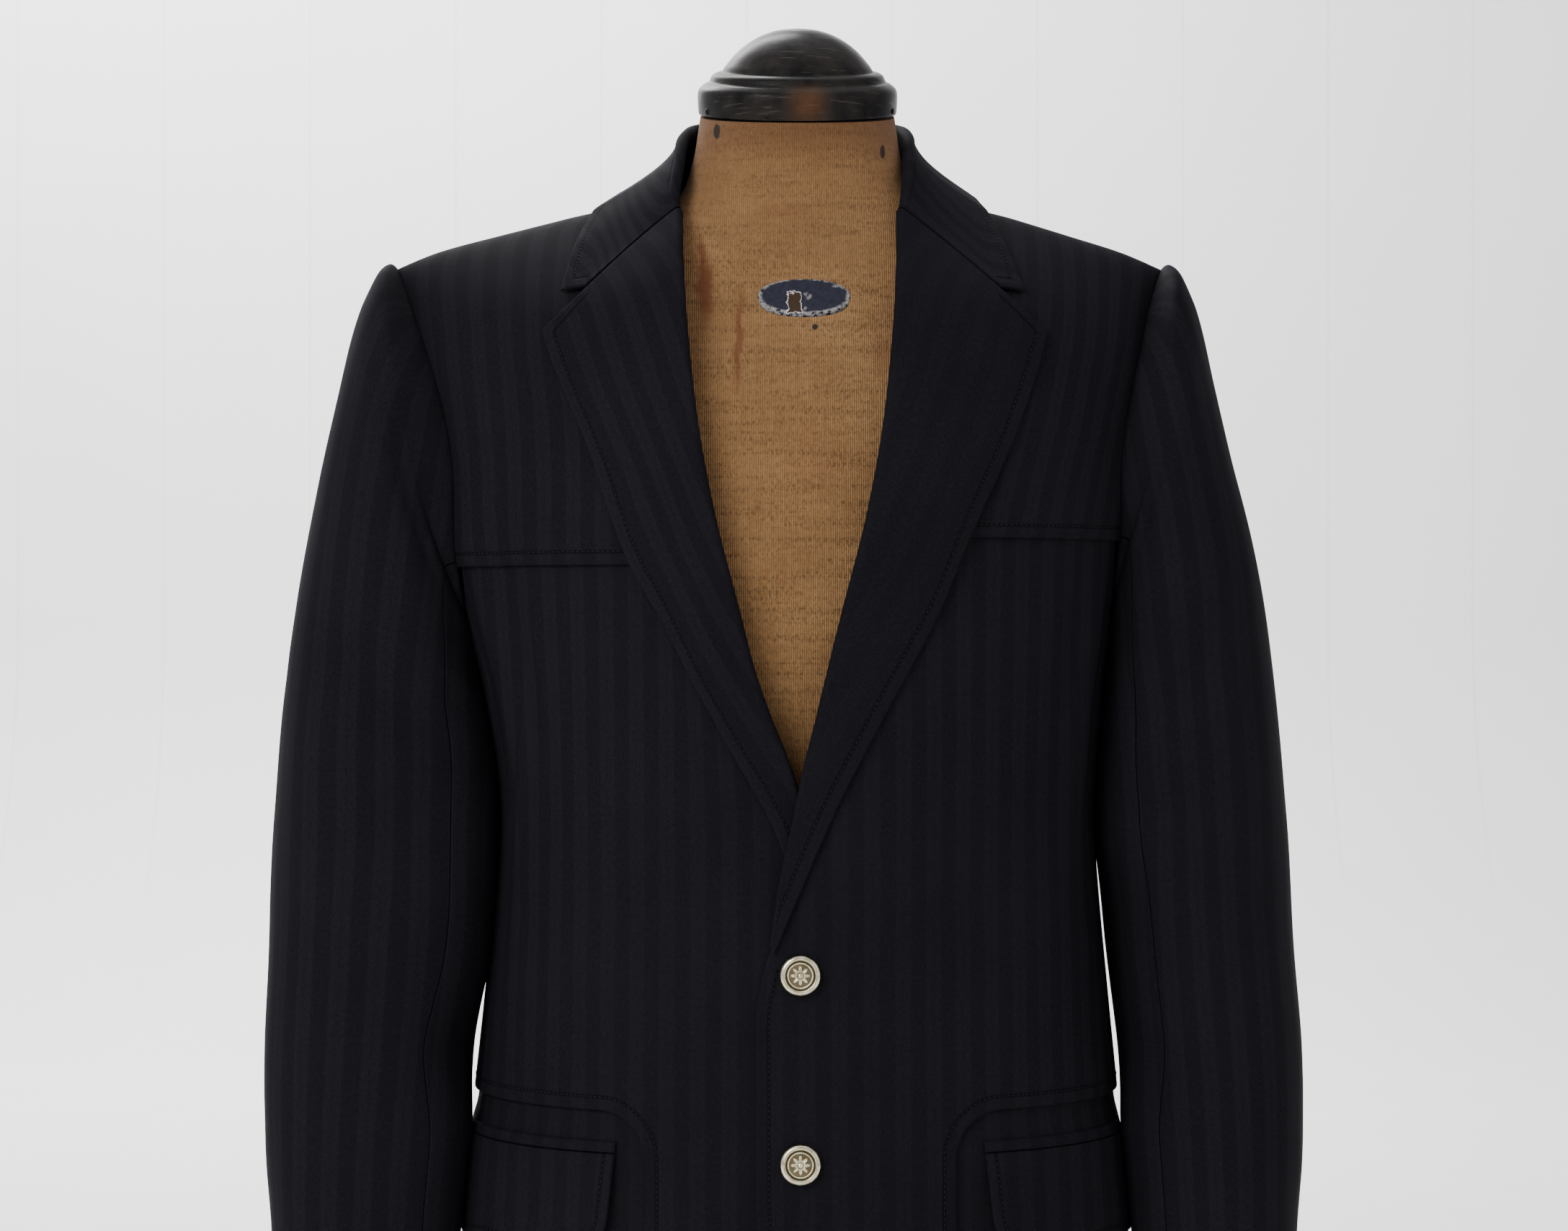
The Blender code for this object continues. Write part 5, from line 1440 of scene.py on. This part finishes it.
def build_lapels():
    """The lapels, with stitching inside their edges and notches."""
    notch = mix(LAPEL_BEND_END, 1, NOTCH_ON_LAPEL)
    for side, word, start in ((1, "left", 0.0), (-1, "right", LAPEL_RIGHT_START)):
        columns = fold_columns(LAPEL_BEND_START, LAPEL_BEND_END, 0.09)
        shell = Shell(lapel(side, start), LAPEL_CLOTH / 2, LAPEL_CLOTH, cell=0.003, columns=columns)
        outer, top = shell.from_edges[1], shell.from_edges[3]
        stripes = stack(outer + STRIPE_START, arc(shell.outer, 0))
        away = np.minimum(outer, np.where(shell.u > notch - 0.02, top, NO_SEAM)) - TOPSTITCH
        away = np.where(shell.u < LAPEL_BEND_END, NO_SEAM, away)
        # The wearer's left lapel takes the copy whose stripes are muted as painted low light
        finish = CLOTH_FINISH if side < 0 else LAPEL_PAINTED_LOW_LIGHT_FINISH
        cloth_object(f"cloth_lapel_{word}", shell, side, finish, stripes, away, f"lapel_{word}")
        share = float(np.argmax(columns >= notch)) / (len(columns) - 1)
        rows = [shell.row_inside(1, TOPSTITCH, 0.02, 1.0, stop=(3,))]
        rows.append(shell.row_inside(3, TOPSTITCH, 0.0, 1 - share, stop=(1,)))
        rows = [(points[2:], faces[2:]) for points, faces in rows]
        stitches(f"lapel_stitches_{word}", rows, side, THREAD)


def build_collar():
    """The collar, with a row of stitches inside its outer edge."""
    columns = fold_columns(COLLAR_BEND_START, COLLAR_BEND_END, 0.055)
    shell = Shell(collar, LAPEL_CLOTH / 2, LAPEL_CLOTH, cell=0.0028, columns=columns)
    stripes = stack(arc(shell.outer, 0), shell.from_edges[1])
    notch = mix(COLLAR_BEND_END, 1, NOTCH_SHARE)
    ends = np.minimum(shell.from_edges[2], shell.from_edges[3])
    away = np.minimum(shell.from_edges[1], np.where(shell.u > notch, ends, NO_SEAM)) - TOPSTITCH
    away = np.where(shell.u < COLLAR_BEND_END, NO_SEAM, away)
    cloth_object("cloth_collar", shell, 1, CLOTH_FINISH, stripes, away, "collar")
    stitches("collar_stitches", [shell.row_inside(1, TOPSTITCH, stop=(2, 3))], 1, THREAD)


# Rings of the form: side x and z, front y and z, back y and z
FORM = np.array((
    (0.176, FORM_FLOOR_Z, -0.112, FORM_FLOOR_Z, 0.112, FORM_FLOOR_Z),
    (0.183, 0.130, -0.120, 0.130, 0.122, 0.130),
    (0.184, 0.200, -0.123, 0.200, 0.126, 0.200),
    (0.177, 0.290, -0.119, 0.290, 0.119, 0.290),
    (0.167, 0.370, -0.112, 0.370, 0.103, 0.370),
    (0.160, 0.450, -0.108, 0.450, 0.093, 0.450),
    (0.160, 0.510, -0.110, 0.510, 0.093, 0.510),
    (0.169, 0.570, -0.115, 0.570, 0.102, 0.570),
    (0.180, 0.630, -0.118, 0.630, 0.110, 0.630),
    (0.190, 0.690, -0.111, 0.690, 0.112, 0.690),
    (0.199, 0.745, -0.096, 0.745, 0.107, 0.745),
    (0.201, 0.7800, -0.083, 0.772, 0.098, 0.780),
    (0.197, 0.8100, -0.072, 0.790, 0.087, 0.803),
    (0.174, 0.8210, -0.064, 0.804, 0.078, 0.821),
    (0.139, 0.8320, -0.057, 0.822, 0.069, 0.839),
    (0.104, 0.8425, -0.050, 0.841, 0.059, 0.854),
    (0.0745, 0.8585, -0.046, 0.860, 0.054, 0.871),
    (0.0640, 0.8820, -0.0500, 0.880, 0.0540, 0.893),
    (0.0592, 0.9098, -0.0610, 0.8966, 0.0530, 0.9230),
))


def closed_rings(count, steps, flipped=False):
    """Faces between rings of points that follow one another, closed at both ends."""
    index = np.arange(count * steps).reshape(count, steps)
    after = np.roll(index, -1, axis=1)
    corners = (index[:-1], after[:-1], after[1:], index[1:])
    ends = [index[0, ::-1].tolist(), index[-1].tolist()]
    if flipped:
        corners, ends = (corners[0], *corners[:0:-1]), [end[::-1] for end in ends]
    return np.stack(corners, axis=-1).reshape(-1, 4).tolist() + ends


def form_surface(u, v):
    """The form's jersey: u goes round from the front, v from the floor to the neck."""
    angle = 2 * np.pi * u
    side_x, side_z, front_y, front_z, back_y, back_z = along(numbered(FORM), v)
    ahead = np.cos(angle)
    reach = np.abs(ahead) ** (2 / FORM_SQUARENESS)
    x = side_x * power(np.sin(angle), 2 / FORM_SQUARENESS)
    y = np.where(ahead > 0, front_y, back_y) * reach
    z = mix(side_z, np.where(ahead > 0, front_z, back_z), reach)
    return stack(x + leaned(x, z), y, z)


def build_form():
    """The form's body, as one smooth closed mesh."""
    columns, rows = 160, 330
    u, v = np.meshgrid(np.arange(columns) / columns, np.linspace(0, 1, rows))
    base = form_surface(u, v)
    across = form_surface(u + 0.002, v) - form_surface(u - 0.002, v)
    up = form_surface(u, np.minimum(v + 0.002, 1)) - form_surface(u, np.maximum(v - 0.002, 0))
    points = base - unit(np.cross(across, up)) * 0.0010
    made = make_object("jersey_form", points.reshape(-1, 3), closed_rings(rows, columns), JERSEY)
    data = made.data
    data.set_sharp_from_angle(angle=math.radians(60))
    loop_vertex = loop_vertices(data)
    steps = np.linalg.norm(np.roll(points, -1, axis=1) - points, axis=-1)
    girth = steps.sum(axis=1, keepdims=True)
    walked = np.cumsum(steps, axis=1) - steps
    walked = np.where(np.arange(columns) > columns // 2, walked - girth, walked)
    row, column = np.divmod(loop_vertex, columns)
    behind = np.zeros(len(loop_vertex), dtype=bool)
    behind[: 4 * columns * (rows - 1)] = np.tile(np.arange(columns) == columns // 2, rows - 1).repeat(4)
    across = walked[row, column]
    across = np.where(behind & (column == columns // 2), across - girth[row, 0], across)
    set_uv(data, stack(across, points[..., 2].ravel()[loop_vertex]))
    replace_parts(made, "dress_form_body")
    return made


def lathe(name, profile, steps, transform):
    """A bronze solid of revolution, from an outline of radius and height that starts and ends on its axis."""
    turns = np.linspace(0, 2 * np.pi, steps, endpoint=False)
    inner = profile[1:-1]
    ring = np.stack((np.cos(turns), np.sin(turns), np.zeros(steps)), axis=-1)
    points = [ring * radius + np.array((0, 0, height)) for radius, height in inner]
    points = np.concatenate([[(0, 0, profile[0][1])], *points, [(0, 0, profile[-1][1])]])
    last = len(points) - 1
    faces = []
    for i in range(steps):
        k = (i + 1) % steps
        faces.append((0, 1 + i, 1 + k))
        faces.append((last, last - steps + k, last - steps + i))
        for j in range(len(inner) - 1):
            a, b = 1 + j * steps, 1 + (j + 1) * steps
            faces.append((a + i, b + i, b + k, a + k))
    made = make_object(name, [transform @ Vector(p) for p in points], faces, BRONZE)
    made.data.set_sharp_from_angle(angle=math.radians(50))
    return made


def smooth_outline(points, count):
    """An outline through the points, with rounded turns."""
    return np.stack(along(numbered(np.array(points)), np.linspace(0, 1, count)), axis=-1)


# Outline of the cap from the top of its dome to its rim, and its underside: radius, height
CAP_OUTLINE = (
    (0.0000, 0.0506), (0.0125, 0.0493), (0.0245, 0.0449), (0.0350, 0.0376), (0.0425, 0.0293),
    (0.0455, 0.0250), (0.0475, 0.0248), (0.0510, 0.0230), (0.0530, 0.0193), (0.0555, 0.0180),
    (0.0585, 0.0155), (0.0597, 0.0125), (0.0598, 0.0070), (0.0594, 0.0012),
)
CAP_UNDERSIDE = ((0.0590, 0.0), (0.0, 0.0))

# Outline of a nail's head: radius, height
NAIL_OUTLINE = (
    (0.0, 0.0012), (0.0009, 0.0011), (0.0016, 0.0006), (0.0020, 0.0), (0.0019, -0.0008), (0.0, -0.0008),
)

# Outline of a button's back: radius, height
BUTTON_BACK = (
    (BUTTON_R, 0.0020), (BUTTON_R - 0.0001, 0.0014), (0.0106, 0.0008), (0.0030, 0.0003), (0.0022, 0.0),
)


def build_cap():
    """The neck cap: a shallow dome with a raised ring and a rolled rim, held by small nails."""
    profile = np.concatenate((smooth_outline(CAP_OUTLINE, 90), CAP_UNDERSIDE))
    transform = Matrix.Translation((0, CAP_Y, CAP_Z + CAP_RAISE)) @ Matrix.Rotation(CAP_TILT, 4, "X")
    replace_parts(lathe("bronzed_cap", profile, 128, transform), "neck_cap")
    for k, turn in enumerate(NAIL_TURNS):
        way = Vector((math.cos(math.radians(turn)), math.sin(math.radians(turn)), 0))
        place = transform @ Matrix.Translation(way * 0.0594 + Vector((0, 0, NAIL_Z)))
        lathe(f"cap_nail_{k + 1}", NAIL_OUTLINE, 16, place @ way.to_track_quat("Z", "Y").to_matrix().to_4x4())


def build_button(word, height):
    """A domed gilt button: a rolled rim, a ring of beads and a rosette of eight plain petals."""
    cloth_y = torso_point(0.0, height)[1] - flap_over(0.0, height)
    slope = (torso_point(0.0, height + 0.01)[1] - torso_point(0.0, height - 0.01)[1]) / 0.02
    transform = Matrix.Translation((0, cloth_y - 2 * SEAM_GAP, height))
    transform = transform @ Matrix.Rotation(math.pi / 2 - math.atan(slope), 4, "X")
    turns = np.linspace(0, 2 * np.pi, BUTTON_STEPS, endpoint=False)
    radii = np.concatenate((np.linspace(0.0002, 0.0098, 50), np.linspace(0.0100, BUTTON_R - 0.0002, 14)))
    r, a = np.meshgrid(radii, turns, indexing="ij")
    dome = 0.0030 * np.sqrt(np.maximum(1 - (r / 0.0125) ** 2, 0)) + 0.0011
    rim = 0.0012 * np.sqrt(np.maximum(1 - ((r - 0.00985) / 0.00155) ** 2, 0))
    channel = -0.0005 * bell((r - 0.0080) / 0.0006)
    petals = 0.5 + 0.5 * np.cos(8 * a)
    reach = 0.0028 + 0.0028 * petals**0.7
    petal = 0.00075 * ease((reach - r) / 0.0008) * ease((r - 0.0016) / 0.0008)
    vein = -0.00025 * bell((np.mod(8 * a / (2 * np.pi) + 0.5, 1) - 0.5) / 0.10) * ease((reach - r) / 0.0006)
    heart = 0.0010 * np.sqrt(np.maximum(1 - (r / 0.0015) ** 2, 0))
    bead = 0.00045 * bell((r - 0.0070) / 0.0006) * (0.25 + 0.75 * np.abs(np.sin(18 * a)))
    relief = petal + vein * (r > 0.0016) + heart + bead
    top = dome + rim + channel + relief
    # Painted shade: darkest in the recesses of the relief and the channel, lighter on the inner side of the
    # rim, and along the rolled outer edge
    painted_shade = np.clip(1 - relief / 0.00030, 0, 1) * np.clip((0.0081 - r) / 0.0004, 0, 1)
    painted_shade = np.maximum(painted_shade * 0.80, 0.95 * bell((r - 0.0081) / 0.0007))
    painted_shade = np.maximum(painted_shade, 0.70 * ease((r - 0.0106) / 0.0009))
    painted_shade = np.maximum(painted_shade, 0.30 * ease((0.0096 - r) / 0.0012) * (r > 0.0081))
    back = [stack(radius * np.cos(turns), radius * np.sin(turns), low) for radius, low in BUTTON_BACK]
    rings = np.concatenate((stack(r * np.cos(a), r * np.sin(a), top), back))
    placed = [transform @ Vector(p) for p in rings.reshape(-1, 3)]
    made = make_object(f"gilt_button_{word}", placed, closed_rings(len(rings), BUTTON_STEPS, True), GILT)
    set_values(made.data, "painted_shade", painted_shade, np.zeros((len(BUTTON_BACK), BUTTON_STEPS)))
    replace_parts(made, f"button_{word}")
    line_x = np.linspace(-0.0155, -0.0105, 12)
    for k, offset in enumerate((-0.0006, 0.0006)):
        heights = np.full(len(line_x), height + offset)
        angles = angle_at(line_x, heights)
        row = torso_line(angles, heights, flap_over(angles, heights) + 0.0001, 1)
        stitches(f"buttonhole_{word}_{k + 1}", [row], 1, THREAD, pitch=0.0008, length=0.0009, radius=0.00042)


def build_label(form):
    """A plain oval label of faded cloth, sewn to the front of the form."""
    tree = BVHTree.FromObject(form, bpy.context.evaluated_depsgraph_get())
    points, rim = [], []

    def ring(height, half, lift, from_rim):
        for i in range(LABEL_STEPS):
            turn = 2 * math.pi * i / LABEL_STEPS
            aside, up = (float(power(way, 0.92)) for way in (math.cos(turn), math.sin(turn)))
            start = Vector((LABEL_X + half[0] * aside, -0.4, height + half[1] * up))
            hit, normal, _, _ = tree.ray_cast(start, Vector((0, 1, 0)))
            points.append(hit + normal * lift)
            rim.append(from_rim)

    for k in range(1, LABEL_RINGS + 1):
        share = math.sin(math.pi / 2 * k / LABEL_RINGS)
        lift = 0.0004 + 0.0006 * math.sqrt(max(1 - share**6, 0))
        ring(LABEL_Z, [half * share for half in LABEL_HALF], lift, (1 - share) * LABEL_HALF[1])
    ring(LABEL_BACK_Z, LABEL_BACK_HALF, 0.0001, 0.0)
    made = make_object("form_label", points, closed_rings(LABEL_RINGS + 1, LABEL_STEPS, True), LABEL)
    set_values(made.data, "rim", rim)


def build_stage():
    """A pale floor that curves up behind into a backdrop."""
    outline = [(-1.9, 0.0), (WALL_Y - SWEEP_R, 0.0)]
    for turn in range(6, 91, 6):
        aside, up = math.sin(math.radians(turn)), math.cos(math.radians(turn))
        outline.append((WALL_Y - SWEEP_R + SWEEP_R * aside, SWEEP_R - SWEEP_R * up))
    outline.append((WALL_Y, 3.6))
    vertices = [(x, y, z) for x in (-STAGE_HALF, STAGE_HALF) for y, z in outline]
    n = len(outline)
    faces = [(k, n + k, n + k + 1, k + 1) for k in range(n - 1)]
    data = bpy.data.meshes.new("studio_sweep")
    data.from_pydata(vertices, [], faces)
    data.shade_smooth()
    data.materials.append(painted_boards())
    sweep = in_scene("studio_sweep", data)


def area_light(name, place, aim, size, watts, colour):
    """A soft rectangular light turned to a point."""
    light = bpy.data.lights.new(name, "AREA")
    light.shape = "RECTANGLE"
    light.size, light.size_y = size
    light.energy = watts
    light.color = colour
    holder = in_scene(name, light)
    holder.visible_camera = False
    holder.location = place
    holder.rotation_euler = (Vector(aim) - Vector(place)).to_track_quat("-Z", "Y").to_euler()


def build_lights():
    """Soft studio light, a little stronger from the viewer's left."""
    world = bpy.data.worlds.new("pale_room")
    bpy.context.scene.world = world
    world.use_nodes = True
    colour, strength = world.node_tree.nodes["Background"].inputs[:2]
    colour.default_value = (0.95, 0.94, 1.0, 1)
    strength.default_value = 0.66
    area_light("key", (-1.5, -1.9, 1.9), (0, 0, 0.6), (1.4, 1.4), 48, (0.975, 0.985, 1.0))
    area_light("fill", (1.9, -1.5, 1.2), (0, 0, 0.6), (1.2, 1.6), 5, (1.0, 0.90, 0.94))
    area_light("top", (0, 0.2, 2.7), (0, 0.1, 0.6), (1.8, 1.4), 10, (1, 1, 1))
    area_light("backdrop_wash", (-1.0, 1.9, 2.8), (0.0, WALL_Y, 0.8), (2.4, 0.8), 190, (1.0, 1.0, 1.0))
    area_light("left_rim", (-1.9, 0.7, 1.2), (0, 0, 0.6), (0.7, 1.6), 4, (0.92, 0.96, 1.0))


def build_camera():
    """The camera, level at the photograph's height and angle."""
    camera = bpy.data.cameras.new("camera")
    camera.lens = CAMERA_LENS
    camera.sensor_width = 36
    camera.clip_start = 0.05
    holder = in_scene("camera", camera)
    aside, ahead = math.sin(CAMERA_AZIMUTH), math.cos(CAMERA_AZIMUTH)
    holder.location = (AIM_X + aside * CAMERA_DISTANCE, -ahead * CAMERA_DISTANCE, CAMERA_HEIGHT)
    holder.rotation_euler = (math.pi / 2, 0, CAMERA_AZIMUTH)
    bpy.context.scene.camera = holder


build_camera()
build_stage()
build_lights()
for side, word in ((1, "left"), (-1, "right")):
    build_side(side, word)
    build_sleeves(side, word)
build_lapels()
build_collar()
for word, height in BUTTON_HEIGHTS.items():
    build_button(word, height)
form = build_form()
build_cap()
build_label(form)
foot = bpy.data.objects["form_foot"]
foot.material_slots[0].link = "OBJECT"
foot.material_slots[0].material = walnut()
